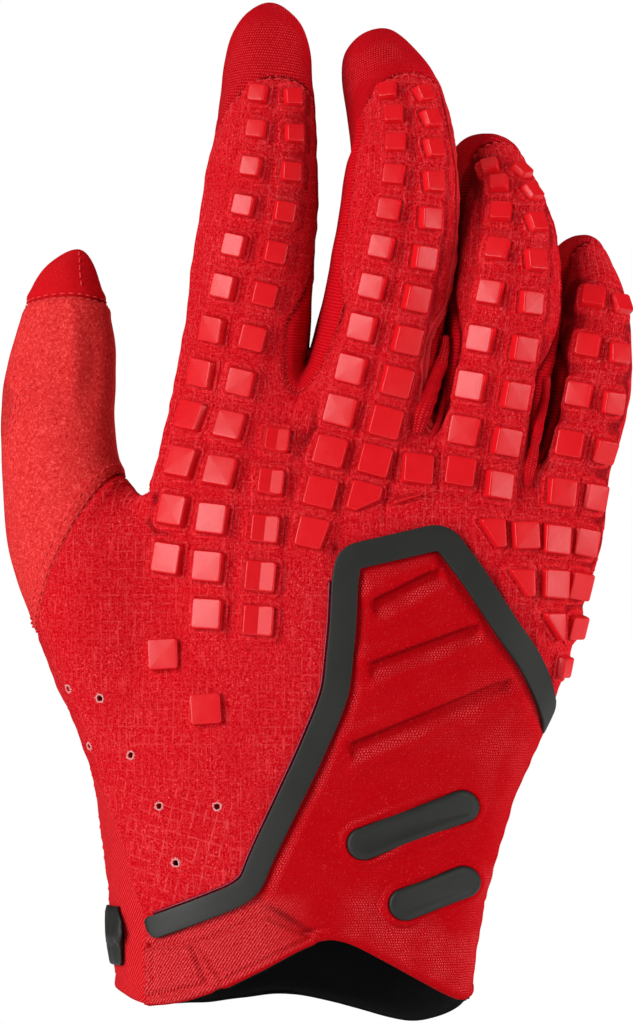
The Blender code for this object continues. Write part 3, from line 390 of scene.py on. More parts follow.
# Centre line of the black trim from its rounded lower end: across, up
TRIM_LINE = (
    (-0.2196, 0.0955),
    (-0.1975, 0.1006),
    (-0.1422, 0.1138),
    (-0.0853, 0.1279),
    (-0.0600, 0.1390),
    (-0.0427, 0.1670),
    (-0.0079, 0.2119),
    (0.0308, 0.2627),
    (0.0600, 0.3047),
    (0.0730, 0.3280),
    (0.0830, 0.3900),
    (0.0860, 0.4340),
    (0.0920, 0.4555),
    (0.2390, 0.4765),
    (0.2844, 0.4395),
    (0.3476, 0.3794),
    (0.3697, 0.3604),
    (0.3847, 0.3423),
    (0.3957, 0.3252),
    (0.4021, 0.3091),
)
TRIM_TAIL = 0.0060
TRIM_BEND = 0.0030
TRIM_STEP = 0.0007
TRIM_WIDTH = 0.0060
# The lip along the trim: last point of the line beside it, distance from the trim, radius
LIP_END = 11
LIP_GAP = 0.00050
LIP_RADIUS = 0.00030
# Section of the trim: place across in shares of half the width, height in metres
TRIM_SECTION = (
    (-1.00, -0.0012), (-1.00, 0.00128), (-0.99, 0.00139), (-0.96, 0.00144), (-0.90, 0.00146),
    (-0.40, 0.00146), (0.40, 0.00146), (0.90, 0.00146), (0.96, 0.00144), (0.99, 0.00139), (1.00, 0.00128),
    (1.00, -0.0012),
)
# Edge of the lower left side panel, from the palm seam to the trim's end
SIDE_LINE = ((-0.330, 0.262), (-0.297, 0.230), (-0.275, 0.203), (-0.259, 0.176), (-0.245, 0.137),
             (-0.228, 0.112), (-0.216, 0.096))
SIDE_FOOT = -0.226
# Places beyond the glove's side and below its cuff, in metres
OUTSIDE = 0.12
BELOW = -0.03

# Plain rubber bars: centre across, centre up, length in metres
BARS = ((0.190, 0.197, 0.031), (0.222, 0.131, 0.021))
BAR_SLOPE = 21.0
BAR_WIDTH = 0.0074
# Heights round the bars and of the wrist pad and its pressed patches
RIM_RISE = 0.00055
BAR_SINK = 0.0004
PAD_RISE = 0.0009
PATCH_RISE = 0.0006
PATCH_RIM = 0.00055

# Flex grooves of the wrist pad: left end across, up, right end across, up
GROOVES = (
    (0.134, 0.407, 0.232, 0.437),
    (0.128, 0.346, 0.292, 0.383),
    (0.098, 0.268, 0.340, 0.330),
)
GROOVE_DEPTH = 0.0017
GROOVE_HALF = 0.0021
GROOVE_LIP = 0.00060
GROOVE_BROW = 0.00065

# Vent holes: across, up
VENTS = (
    (-0.349, 0.328),
    (-0.299, 0.319),
    (-0.316, 0.272),
    (-0.250, 0.264),
    (-0.205, 0.215),
    (-0.114, 0.215),
    (-0.179, 0.160),
)
VENT_RADIUS = 0.00072
VENT_POINTS = 24
VENT_THREADS = 9

# Pressed patches of the cuff: corners across, up
PATCHES = (
    ((-0.237, 0.078), (-0.155, 0.082), (-0.130, 0.042), (-0.234, 0.028)),
    ((-0.144, 0.082), (-0.040, 0.110), (0.032, 0.089), (-0.104, 0.047)),
)

# Creases and folds of the cloth: across, up at both ends, depth in metres (below zero a ridge), width
CREASES = (
    (-0.052, 0.126, 0.048, 0.089, 0.0009, 0.0015),
    (-0.036, 0.134, 0.062, 0.098, -0.0004, 0.0016),
    (-0.232, 0.518, -0.150, 0.500, 0.0006, 0.0016),
    (-0.250, 0.500, -0.180, 0.470, 0.0004, 0.0016),
    (-0.345, 0.707, -0.340, 0.610, -0.0008, 0.0022),
    (-0.310, 0.690, -0.318, 0.600, 0.0006, 0.0026),
    (0.030, 0.480, 0.082, 0.462, 0.0005, 0.0010),
    (0.050, 0.600, 0.020, 0.560, 0.0005, 0.0018),
    (0.170, 0.560, 0.150, 0.505, 0.0004, 0.0018),
)

# Darker patch at the outer edge of the thumb: corners across, up
THUMB_PATCH = ((-0.480, 0.640), (-0.452, 0.638), (-0.432, 0.617), (-0.436, 0.593), (-0.448, 0.572),
               (-0.480, 0.570))

WALL = 0.0016
LINING_LIFT = 0.0020
LINING_WALL = 0.0007
LINING_HANG = 0.0010
LINING_FLARE = 0.0014
HEM_RISE = 0.0014
HEM_ROLL = 0.00028
# Rows round the rim of a panel, and the distance from the hem at which its rim turns sharp
RIM_STEPS = 4
HEM_SOFT = 0.0004
HEM_GROOVE = 0.00022
SIDE_RIDGE = 0.00035
FAR_EDGE = 0.02
# Slow unevenness of all the cloth: height, length of the bumps, seed
UNEVEN = ((0.00010, 0.009, 11), (0.00020, 0.030, 12))
# Darkness: painted shade by the depth of seams and creases, in grooves, in the hem's groove and the channels
# between blocks, darker at the thumb's patch, and painted shadow where neighbouring fingers keep the light
# off back, caps, sides
SEAM_SHADE = 550.0
CREASE_SHADE = 400.0
GROOVE_SHADE = 0.36
THUMB_PATCH_DARKENING = 0.26
HEM_SHADE = 0.12
CHANNEL_SHADE = 0.19
BACK_SHELTER = 0.36
CAP_SHELTER = 0.22
SIDE_SHELTER = 0.42
# Height from which fingers are tested for shelter, spread and count of the tested directions, their reach
SHELTER_FROM = 0.40
SHELTER_SPREAD = 0.40
SHELTER_RAYS = 10
SHELTER_REACH = 0.06
# Region whose threads stand out as a turned, wider grid: corners across, up
GRID_PATCH = ((-0.275, 0.245), (-0.200, 0.235), (-0.080, 0.215), (-0.105, 0.140), (-0.170, 0.100),
              (-0.235, 0.120))
# Painted highlight on the knit's loops at the wrist's right side: middle across, up, and radius
KNIT_HIGHLIGHT = (0.345, 0.285, 0.014)
STRAP_HEIGHT = 0.088
STRAP_FROM = 78.0
STRAP_TO = 198.0
STRAP_STEPS = 120
STRAP_WIDTH = 0.0135

# Camera: the photograph's frame in metres and its centre, lens in millimetres
FRAME_HEIGHT = 0.2355
FRAME_CENTRE = (0.0061, 0.1178)
LENS = 400.0
SENSOR = 36.0
# Direction to the light whose painted highlight the threads take, and towards which neighbouring fingers are
# tested for painted shadow
GLINT_TOWARDS = (-0.55, -0.60, 0.60)
WORLD_LIGHT = 0.14
DIM_LIGHT = 0.35 * WORLD_LIGHT
WHITE = (1.0, 1.0, 1.0, 1.0)
PALE_GREY = (0.8, 0.8, 0.8, 1.0)
FLOOR_HEIGHT = -0.12
FLOOR_RINGS = (0.3, 0.6, 0.9, 1.2)
FLOOR_SIDES = 48
# Lights that show in the rubber's reflections
MIRRORED_LIGHTS = ("left_softbox", "side_strip")
# Soft lights: name, place from the middle of the glove, width, power
LIGHTS = (
    ("left_softbox", (-1.22, -1.22, 0.45), 1.2, 33.0),
    ("right_softbox", (1.58, 0.15, 0.20), 0.8, 20.0),
    ("top_softbox", (-0.10, 0.40, 1.60), 1.2, 10.0),
    ("side_strip", (1.44, -0.70, 0.06), 0.6, 6.0),
)

# Piece name, regions, material, finish slot, node it stands for
PANELS = (
    ("back_cloth", BACK, "back", "woven", "back_panel"),
    ("wrist_knit", WRIST, "wrist", "mesh_knit", "wrist_panel"),
    ("side_knit", SIDE, "side", "knit", "side_panel"),
    ("palm_suede", PALM, "palm", "suede", "palm_panel"),
    ("gusset_first_rib", GUSSET_1, "gusset", "knit", "gusset_index_middle"),
    ("gusset_second_rib", GUSSET_2, "gusset", "knit", "gusset_middle_ring"),
    ("gusset_third_rib", GUSSET_3, "gusset", "knit", "gusset_ring_little"),
    ("strip_rib", STRIP, "back", "knit", "strip_index"),
    ("thumb_suede", THUMB, "thumb", "suede", "thumb_panel"),
    ("thumb_tip_knit", THUMB_TIP, "tip", "knit", "thumb_cap"),
    ("cap_first_mesh", CAP_1, "cap", "mesh_knit", "cap_index"),
    ("cap_second_mesh", CAP_2, "cap", "mesh_knit", "cap_middle"),
    ("cap_third_mesh", CAP_3, "cap", "mesh_knit", "cap_ring"),
    ("cap_fourth_mesh", CAP_4, "cap", "mesh_knit", "cap_little"),
)


def across(share):
    return share * GLOVE_WIDTH


def up(share):
    return share * GLOVE_LENGTH


def deep(share):
    return share * GLOVE_DEPTH


def spot(x, z):
    """A point of the X-Z plane from its shares across and up."""
    return np.array((across(x), up(z)))


def unit(vector):
    return vector / norm(vector)


def sideways(along):
    """The direction of the X-Z plane to the left of another."""
    return np.array([-along[1], along[0]])


def bell(value, middle, width):
    """1 at the middle, and smoothly less with the distance from it."""
    return np.exp(-(((value - middle) / width) ** 2))


def travelled(points):
    """Length along a line up to each of its points."""
    return np.concatenate([[0.0], np.cumsum(norm(np.diff(points, axis=0), axis=1))])


def smooth(value):
    """Smooth step of a number or array from 0 to 1."""
    value = np.clip(value, 0.0, 1.0)
    return value * value * (3.0 - 2.0 * value)


class Cage:
    """The coarse faces of the hand, each with its region and the texture place of its corners."""

    def __init__(self):
        self.points = []
        self.faces = []
        self.regions = []
        self.places = []

    def point(self, x, y, z):
        self.points.append((x, y, z))
        return len(self.points) - 1

    def quad(self, corners, region, places):
        self.faces.append(corners)
        self.regions.append(region)
        self.places.append(places)

    def join_rings(self, low, high, regions, low_places, high_places):
        """Sides between two rings. The places of side k are those of its two ends."""
        count = len(low)
        for k in range(count):
            n = (k + 1) % count
            places = (low_places[k][0], low_places[k][1], high_places[k][1], high_places[k][0])
            self.quad((low[k], low[n], high[n], high[k]), regions[k], places)

    def close_ring(self, ring, places, starts, regions, top, top_place):
        """Closes a ring over one point with faces that each take two of its sides."""
        for first, region in zip(starts, regions):
            second, third = (first + 1) % len(ring), (first + 2) % len(ring)
            a, b = places[first], places[second]
            self.quad((ring[first], ring[second], ring[third], top), region, (a[0], a[1], b[1], top_place))

    def unrolled(self, ring, start, zero, u_zero, heights):
        """Texture places of each side of a ring: length round it from point zero, and the height."""
        count = len(ring)
        places = [None] * count
        u = 0.0
        for step in range(count):
            k = (start + step) % count
            n = (k + 1) % count
            length = dist(self.points[ring[k]], self.points[ring[n]])
            places[k] = (u, u + length)
            u += length
        shift = u_zero - places[zero][0]
        out = []
        for k, (a, b) in enumerate(places):
            out.append(((a + shift, heights[k]), (b + shift, heights[(k + 1) % count])))
        return out


def hand_section(row, column_shares):
    """Back and palm points of one section of the hand, column by column."""
    up_left, up_right, left, right, middle, thickness, drop, _ = row
    centre = 0.5 * (left + right)
    half = 0.5 * (right - left) * RING_20
    out = []
    for f in (-1.0, *column_shares, 1.0):
        x = across(centre + half * f)
        z = up(up_left + (up_right - up_left) * 0.5 * (f + 1.0))
        bulge = (1.0 - min(abs(f), 1.0) ** SECTION_POWER) ** (1.0 / SECTION_POWER)
        y_mid = deep(middle + drop * f)
        y_out = deep(0.5 * thickness) * bulge
        out.append(((x, y_mid - y_out, z), (x, y_mid + y_out, z)))
    return out


def hand_sections():
    """Sections from the cuff edge to the knuckles, each a list of (back, palm) points."""
    cuff = []
    widest = max(abs(row[0]) for row in CUFF)
    for x, up_back, up_palm in CUFF:
        f = min(abs(x) / widest, 1.0)
        bulge = (1.0 - f**SECTION_POWER) ** (1.0 / SECTION_POWER)
        y = deep(0.5 * CUFF_THICKNESS) * bulge
        cuff.append(((across(x), -y, up(up_back)), (across(x), y, up(up_palm))))
    rows = []
    for row in HAND_ROWS:
        shares = [a + (b - a) * row[7] for a, b in zip(WRIST_SPACING, KNUCKLE_SPACING)]
        rows.append(hand_section(row, shares))
    halfway = []
    for low, high in zip(cuff, rows[0]):
        halfway.append(tuple(tuple(0.5 * (a + b) for a, b in zip(p, q)) for p, q in zip(low, high)))
    knuckles = []
    for x, up_back, up_palm, depth_back, depth_palm in KNUCKLES:
        knuckles.append(
            ((across(x), deep(depth_back), up(up_back)), (across(x), deep(depth_palm), up(up_palm)))
        )
    return [cuff, halfway, *rows, knuckles]


def hand_rings(cage):
    """Rings of twenty points from the cuff edge to the knuckles: [side, back..., side, palm...].
    The side point is left out where the thumb joins."""
    rings = []
    for number, section in enumerate(hand_sections()):
        ring = []
        for column, (back, _) in enumerate(section):
            skipped = column == 0 and number in OPEN_RINGS
            ring.append(None if skipped else cage.point(*back))
        for _, palm in section[-2:0:-1]:
            ring.append(cage.point(*palm))
        rings.append(ring)
    return rings


def hand_places(cage, rings):
    """Texture places of the sides of each hand ring, measured round from the middle column of the back."""
    out = []
    for ring in rings:
        whole = [ring[1] if p is None else p for p in ring]
        heights = [cage.points[p][2] for p in whole]
        out.append(cage.unrolled(whole, 0, 5, cage.points[whole[5]][0], heights))
    return out


def join_hand(cage, rings, places):
    """Faces of the hand, leaving a hole of two columns by three rows for the thumb."""
    for number in range(len(rings) - 1):
        low, high = rings[number], rings[number + 1]
        for k in range(HAND_SIDES):
            n = (k + 1) % HAND_SIDES
            corners = (low[k], low[n], high[n], high[k])
            if None in corners or (number in HOLE_RINGS and k in LEFT_SIDES):
                continue
            region = BACK if k <= LAST_BACK_SIDE else PALM
            if number >= STRIP_RING and k in LEFT_SIDES:
                region = STRIP
            if number < LINING_ROWS:
                region += LINED
            a, b = places[number], places[number + 1]
            cage.quad(corners, region, (a[k][0], a[k][1], b[k][1], b[k][0]))


def finger_ring(centre, tangent, half_width, half_thick, roll, rise=None):
    """Eight points round a finger: left side, back left, back, back right, right side, then the palm."""
    side = np.array([1.0, 0.0, 0.0])
    side = side - tangent * side.dot(tangent)
    half_width = half_width * norm(side)
    side = side / norm(side)
    back = np.cross(side, tangent)
    turn = radians(roll)
    side, back = (
        side * cos(turn) - back * sin(turn),
        back * cos(turn) + side * sin(turn),
    )
    ring = []
    for k in range(8):
        angle = radians(180.0 - 45.0 * k)
        square = RING_8 * (1.04 if k % 2 else 1.0)
        point = centre + side * half_width * square * cos(angle)
        point = point + back * half_thick * square * sin(angle)
        if rise is not None:
            point = point + tangent * up(rise[k])
        ring.append(point)
    return ring


def finger_centres(rows, tip):
    centres = [np.array([across(0.5 * (r[1] + r[2])), deep(r[3]), up(r[0])]) for r in rows]
    centres.append(np.array([across(tip[0]), deep(tip[2]), up(tip[1])]))
    return centres


def add_finger(cage, knuckles, webs, finger, knuckle_places):
    """Rings from the knuckle line to the tip, with the cap above the arched seam."""
    name, rows, tip, cap_row, column, left_region, right_region, cap_region = finger
    low = [webs[0], *knuckles[column + 1 : column + 4], webs[1]]
    low += [knuckles[HAND_SIDES - k] for k in (column + 3, column + 2, column + 1)]
    below = [left_region, BACK, BACK, right_region, right_region, PALM, PALM, left_region]
    if name == "little":
        below[4] = PALM
    above = [cap_region] * 5 + [PALM, PALM, cap_region]
    centres = finger_centres(rows, tip)
    u_zero, v = knuckle_places[column + 2][0]
    low_places = cage.unrolled(low, 7, 2, u_zero, [cage.points[p][2] for p in low])
    before = np.mean([cage.points[p] for p in low[1:4]], axis=0)
    before = np.array([centres[0][0], centres[0][1], before[2]])
    for number, row in enumerate(rows):
        tangent = unit(centres[number + 1] - centres[max(number - 1, 0)])
        if number == 0:
            tangent = unit(centres[1] - centres[0])
        half_width = across(0.5 * (row[2] - row[1]))
        rise = CAP_ARCH if number == cap_row else None
        points = finger_ring(centres[number], tangent, half_width, deep(0.5 * row[4]), row[5], rise)
        high = [cage.point(*p) for p in points]
        v += norm(centres[number] - before)
        before = centres[number]
        heights = [v + (up(rise[k]) if rise else 0.0) for k in range(8)]
        high_places = cage.unrolled(high, 7, 2, u_zero, heights)
        cage.join_rings(low, high, below if number <= cap_row else above, low_places, high_places)
        low, low_places = high, high_places
    reach = (centres[-1] - centres[-2]) * TIP_REACH
    top = cage.point(*(centres[-2] + reach))
    top_place = (u_zero, v + norm(reach))
    cage.close_ring(low, low_places, (7, 1, 3, 5), [cap_region] * 3 + [PALM], top, top_place)


def thumb_ring(inner, outer, tangent, half_thick, shift):
    """Ten points round the thumb, starting on the back beside the inner edge."""
    centre = 0.5 * (inner + outer)
    major = 0.5 * (inner - outer)
    back = np.cross(unit(major), tangent)
    back = unit(back - unit(major) * back.dot(unit(major)))
    ring = []
    for degrees in (36, 0, -36, -72, -108, -144, 180, 144, 108, 72):
        angle = radians(degrees)
        point = centre + major * RING_10 * cos(angle)
        point = point + back * half_thick * RING_10 * sin(angle)
        point = point + tangent * up(shift) * max(sin(angle), 0.0)
        ring.append(point)
    return ring


def thumb_hem(places):
    """Texture places of the sides of the hole in the hand that the thumb joins."""
    hem = []
    for k in range(10):
        ends = []
        for r, c in (THUMB_HOLE[k], THUMB_HOLE[(k + 1) % 10]):
            on_palm = 1 <= k <= 5
            ends.append(places[r][19][1] if on_palm and c == 0 else places[r][c][0])
        hem.append(tuple(ends))
    return hem


def add_thumb(cage, rings, places):
    """Rings from the hole in the hand to the tip. Below the seam they belong to the hand's own cloth."""
    low = [rings[r][k] for r, k in THUMB_HOLE]
    hem = thumb_hem(places)
    base = [np.array(cage.points[p]) for p in low]
    low_places = hem
    inner = [np.array([across(r[0]), deep(r[4]), up(r[1])]) for r in THUMB_ROWS]
    outer = [np.array([across(r[2]), deep(r[4]), up(r[3])]) for r in THUMB_ROWS]
    middle = [0.5 * (a + b) for a, b in zip(inner, outer)]
    tip = np.array([across(THUMB_TIP_POINT[0]), deep(THUMB_TIP_POINT[2]), up(THUMB_TIP_POINT[1])])
    middle.append(tip)
    v = 0.0
    for number, row in enumerate(THUMB_ROWS):
        tangent = unit(middle[number + 1] - middle[max(number - 1, 0)])
        points = thumb_ring(inner[number], outer[number], tangent, deep(0.5 * row[5]), row[6])
        high = [cage.point(*p) for p in points]
        v += norm(middle[number + 1] - middle[number])
        rolled = cage.unrolled(high, 6, 9, middle[number][0], [v] * 10)
        moved = []
        for k in range(10):
            ends = []
            for place, n in zip(hem[k], (k, (k + 1) % 10)):
                ends.append((place[0] + points[n][0] - base[n][0], place[1] + points[n][2] - base[n][2]))
            moved.append(tuple(ends))
        if number <= THUMB_SEAM_ROW:
            regions = [BACK] + [PALM] * 5 + [BACK] * 4
            high_places = moved
        else:
            regions = [THUMB if number <= THUMB_CAP_ROW else THUMB_TIP] * 10
            high_places = rolled
        if number == THUMB_SEAM_ROW + 1:
            v_low = v - norm(middle[number + 1] - middle[number])
            low_places = cage.unrolled(low, 6, 9, middle[number - 1][0], [v_low] * 10)
        cage.join_rings(low, high, regions, low_places, high_places)
        low, low_places = high, high_places
    top = cage.point(*(middle[-2] + (tip - middle[-2]) * TIP_REACH))
    top_place = (middle[-2][0], v + norm(tip - middle[-2]) * TIP_REACH)
    cage.close_ring(low, low_places, range(0, 10, 2), [THUMB_TIP] * 5, top, top_place)


def build_cage():
    cage = Cage()
    rings = hand_rings(cage)
    places = hand_places(cage, rings)
    join_hand(cage, rings, places)
    knuckles = rings[-1]
    webs = {c: cage.point(across(p[0]), deep(p[2]), up(p[1])) for c, p in WEBS.items()}
    for finger in FINGERS:
        column = finger[4]
        ends = (webs.get(column, knuckles[0]), webs.get(column + 2, knuckles[10]))
        add_finger(cage, knuckles, ends, finger, places[-1])
    add_thumb(cage, rings, places)
    return cage


def placed(name, data):
    """A new object of the scene."""
    obj = bpy.data.objects.new(name, data)
    bpy.context.scene.collection.objects.link(obj)
    return obj


def mesh_arrays(mesh):
    """Points, quads, material numbers and texture places of a mesh of quads."""
    points = np.empty(len(mesh.vertices) * 3, np.float32)
    mesh.vertices.foreach_get("co", points)
    corners = np.empty(len(mesh.loops), np.int32)
    mesh.loops.foreach_get("vertex_index", corners)
    slots = np.empty(len(mesh.polygons), np.int32)
    mesh.polygons.foreach_get("material_index", slots)
    places = np.empty(len(mesh.loops) * 2, np.float32)
    mesh.uv_layers[0].data.foreach_get("uv", places)
    return (
        points.reshape(-1, 3).astype(float),
        corners.reshape(-1, 4),
        slots,
        places.reshape(-1, 4, 2).astype(float),
    )


class Skin:
    """The subdivided outer surface of the hand as arrays."""

    def __init__(self, cage, levels):
        mesh = bpy.data.meshes.new("hand_cage")
        mesh.from_pydata(cage.points, [], cage.faces)
        for _ in range(2 * LINED):
            mesh.materials.append(None)
        mesh.polygons.foreach_set("material_index", cage.regions)
        layer = mesh.uv_layers.new(name="UVMap")
        layer.data.foreach_set("uv", np.array(cage.places, np.float32).ravel())
        obj = placed("hand_cage", mesh)
        modifier = obj.modifiers.new("round", "SUBSURF")
        modifier.levels = levels
        modifier.render_levels = levels
        graph = bpy.context.evaluated_depsgraph_get()
        fine = bpy.data.meshes.new_from_object(obj.evaluated_get(graph), depsgraph=graph)
        bpy.data.objects.remove(obj)
        self.points, self.quads, slots, self.places = mesh_arrays(fine)
        self.lined = slots >= LINED
        self.regions = slots % LINED
        self.refresh()

    def refresh(self):
        """Normals and search tree from the present points."""
        a, b, c, d = (self.points[self.quads[:, k]] for k in range(4))
        faces = np.cross(c - a, d - b)
        normals = np.zeros_like(self.points)
        for k in range(4):
            np.add.at(normals, self.quads[:, k], faces)
        self.normals = normals / np.maximum(norm(normals, axis=1), 1e-20)[:, None]
        self.tree = BVHTree.FromPolygons(self.points.tolist(), self.quads.tolist())

    def refine(self, mask):
        """Splits some faces in four by the middles of their edges."""
        quads, places = self.quads[mask], self.places[mask]
        sides = np.stack([quads, np.roll(quads, -1, axis=1)], axis=2).reshape(-1, 2)
        keys, index = np.unique(np.sort(sides, axis=1), axis=0, return_inverse=True)
        first = len(self.points)
        middle = first + index.reshape(-1, 4)
        centre = first + len(keys) + np.arange(len(quads))
        self.points = np.concatenate(
            [self.points, self.points[keys].mean(axis=1), self.points[quads].mean(axis=1)]
        )
        half = 0.5 * (places + np.roll(places, -1, axis=1))
        whole = places.mean(axis=1)
        parts = [(self.quads[~mask], self.regions[~mask], self.lined[~mask], self.places[~mask])]
        for k in range(4):
            corners = np.stack([quads[:, k], middle[:, k], centre, middle[:, k - 1]], axis=1)
            spots = np.stack([places[:, k], half[:, k], whole, half[:, k - 1]], axis=1)
            parts.append((corners, self.regions[mask], self.lined[mask], spots))
        self.quads, self.regions, self.lined, self.places = (
            np.concatenate(part) for part in zip(*parts)
        )
        self.refresh()

    def frame_at(self, point):
        """Nearest point of the surface and the smooth normal there."""
        found, _, index, _ = self.tree.find_nearest(Vector(point))
        found = np.array(found)
        corners = self.quads[index]
        weights = 1.0 / (norm(self.points[corners] - found, axis=1) + 1e-5)
        return found, unit((self.normals[corners] * weights[:, None]).sum(axis=0))

    def place_at(self, point):
        """Texture place of the nearest point of the surface."""
        index = self.tree.find_nearest(Vector(point))[2]
        gaps = norm(self.points[self.quads[index]] - point, axis=1)
        weights = 1.0 / (gaps**2 + 1e-9)
        return (self.places[index] * weights[:, None]).sum(axis=0) / weights.sum()

    def hit(self, x, z, direction=1.0):
        """Where a line along Y meets the surface from the back (1) or the palm (-1)."""
        start = Vector((x, -0.2 * direction, z))
        point = self.tree.ray_cast(start, Vector((0.0, direction, 0.0)))[0]
        if point is None:
            point = self.tree.find_nearest(Vector((x, -0.02 * direction, z)))[0]
        return np.array(point)

    def on_back(self, x, z):
        return self.frame_at(self.hit(x, z))

    def vertex_mask(self, face_mask):
        mask = np.zeros(len(self.points), bool)
        mask[self.quads[face_mask].ravel()] = True
        return mask


def line_distance(xz, line, closed=False):
    """Distance in the X-Z plane from points to a line of points."""
    ends = list(zip(line, line[1:] + line[:1])) if closed else list(zip(line, line[1:]))
    best = np.full(len(xz), 1e9)
    for a, b in ends:
        a, b = np.array(a), np.array(b)
        t = np.clip(((xz - a) @ (b - a)) / ((b - a) @ (b - a)), 0.0, 1.0)
        best = np.minimum(best, norm(xz - a - t[:, None] * (b - a), axis=1))
    return best


def inside(xz, outline):
    """True for the points inside a closed outline in the X-Z plane."""
    found = np.zeros(len(xz), bool)
    x, z = xz[:, 0], xz[:, 1]
    for (x1, z1), (x2, z2) in zip(outline, outline[1:] + outline[:1]):
        if z1 == z2:
            continue
        crosses = (z1 > z) != (z2 > z)
        found ^= crosses & (x < (x2 - x1) * (z - z1) / (z2 - z1) + x1)
    return found


def signed_distance(xz, outline):
    """Distance to a closed outline, below zero inside it."""
    distance = line_distance(xz, outline, closed=True)
    return np.where(inside(xz, outline), -distance, distance)


def in_metres(shares):
    return [(across(x), up(z)) for x, z in shares]


def wrist_outline():
    """Outline of the wrist pad: the trim's centre line closed round the right side and the cuff."""
    line = in_metres(TRIM_LINE)
    foot = across(SIDE_FOOT)
    right = [(line[-1][0], up(0.28)), (OUTSIDE, up(0.26)), (OUTSIDE, BELOW)]
    return line + right + [(foot, BELOW), (foot, line[0][1] - 0.004)]


def side_outline():
    """Outline of the lower left side panel."""
    line = in_metres(SIDE_LINE)
    foot = across(SIDE_FOOT)
    return [(-OUTSIDE, line[0][1]), *line[:-1], (foot, line[-1][1]), (foot, BELOW), (-OUTSIDE, BELOW)]


def snap_to(skin, outline):
    """Moves the points of the back near an outline onto it, so that panels part along a clean line."""
    xz = skin.points[:, [0, 2]]
    distance = signed_distance(xz, outline)
    near = (np.abs(distance) < SNAP_REACH) & (skin.normals[:, 1] < 0.35)
    step = 1e-5
    slope = np.stack(
        [
            signed_distance(xz[near] + (step, 0.0), outline) - distance[near],
            signed_distance(xz[near] + (0.0, step), outline) - distance[near],
        ],
        axis=1,
    ) / step
    move = np.zeros((near.sum(), 3))
    move[:, [0, 2]] = -slope * distance[near][:, None]
    normals = skin.normals[near]
    move -= normals * (move * normals).sum(axis=1)[:, None]
    skin.points[near] += move


def point_tree(points):
    """A search tree of points."""
    tree = KDTree(len(points))
    for number, point in enumerate(points):
        tree.insert(point, number)
    tree.balance()
    return tree


def ripple(points, length, seed):
    """Smooth unevenness from -1 to 1 with bumps about that long."""
    chance = np.random.default_rng(seed)
    total = np.zeros(len(points))
    for _ in range(7):
        wave = unit(chance.normal(size=3)) * (2.0 * pi / length) * chance.uniform(0.7, 1.4)
        total += np.sin(points @ wave + chance.uniform(0.0, 6.28))
    return total / 3.5


def seam_points(skin):
    """Every edge between two regions, as its two points, and both regions."""
    owner = {}
    found = []
    for quad, region in zip(skin.quads.tolist(), skin.regions.tolist()):
        for k in range(4):
            a, b = quad[k], quad[(k + 1) % 4]
            key = (a, b) if a < b else (b, a)
            other = owner.setdefault(key, region)
            if other != region:
                found.append((key, other, region))
    return found


def widen_back(skin):
    """Carries the back's cloth round to the sides of the fingers."""
    middle = skin.points[skin.quads].mean(axis=1)
    normal = skin.normals[skin.quads].mean(axis=1)
    for region, side, gap, share in BACK_REACH:
        fade = smooth((up(gap + REACH_FADE) - middle[:, 2]) / up(REACH_FADE))
        limit = share + (1.0 - share) * fade
        taken = (skin.regions == region) & (side * normal[:, 0] > 0.0) & (-normal[:, 1] > limit)
        skin.regions[taken] = BACK


def relax_seams(skin, edges):
    """Smooths the stepped lines that the widened back leaves."""
    for region in (STRIP, GUSSET_1, GUSSET_2, GUSSET_3):
        for chain in seam_chains(edges, BACK, region):
            skin.points[chain] = softened(skin.points[chain], 10)
    skin.refresh()


def seam_chains(edges, first, second):
    """Ordered lines of point numbers along the seams between two regions."""
    links = {}
    for (a, b), r, s in edges:
        if {r, s} == {first, second}:
            links.setdefault(a, []).append(b)
            links.setdefault(b, []).append(a)
    chains = []
    while links:
        ends = [p for p, n in links.items() if len(n) == 1]
        start = ends[0] if ends else next(iter(links))
        chain = [start]
        while links.get(chain[-1]):
            here = chain[-1]
            there = links[here].pop()
            links[there].remove(here)
            chain.append(there)
            if not links[here]:
                del links[here]
            if there in links and not links[there]:
                del links[there]
                break
        links = {p: n for p, n in links.items() if n}
        if len(chain) > 3:
            chains.append(chain)
    return chains


def seam_relief(skin, edges):
    """Valleys along the seams with a slight puff of cloth beside them."""
    marks = []
    for (a, b), first, second in edges:
        inner = first in BACKS and second in BACKS
        if inner or (max(first, second) in CAPS and BACK not in (first, second)):
            continue
        p, q = skin.points[a], skin.points[b]
        marks += [p + (q - p) * share for share in (0.0, 0.33, 0.67)]
    tree = point_tree(marks)
    distance = np.array([tree.find(p)[2] for p in skin.points.tolist()])
    pucker = 1.0 + 0.6 * ripple(skin.points, 0.0042, 5)
    valley = -SEAM_DEPTH * bell(distance, 0.0, 0.0007)
    return valley + SEAM_PUFF * pucker * bell(distance, 0.0019, 0.0011)


def along_grooves(xz):
    """For each flex groove, how far along it and how far above its middle the points are, and its length."""
    for x0, z0, x1, z1 in GROOVES:
        a, b = spot(x0, z0), spot(x1, z1)
        along = unit(b - a)
        yield (xz - a) @ along, (xz - a) @ sideways(along), norm(b - a)


def within(s, length, before, after, ease, ease_out):
    """1 between the ends of a line of that length, with a margin and a soft edge at each end."""
    return smooth((s + before) / ease) * smooth((length + after - s) / ease_out)


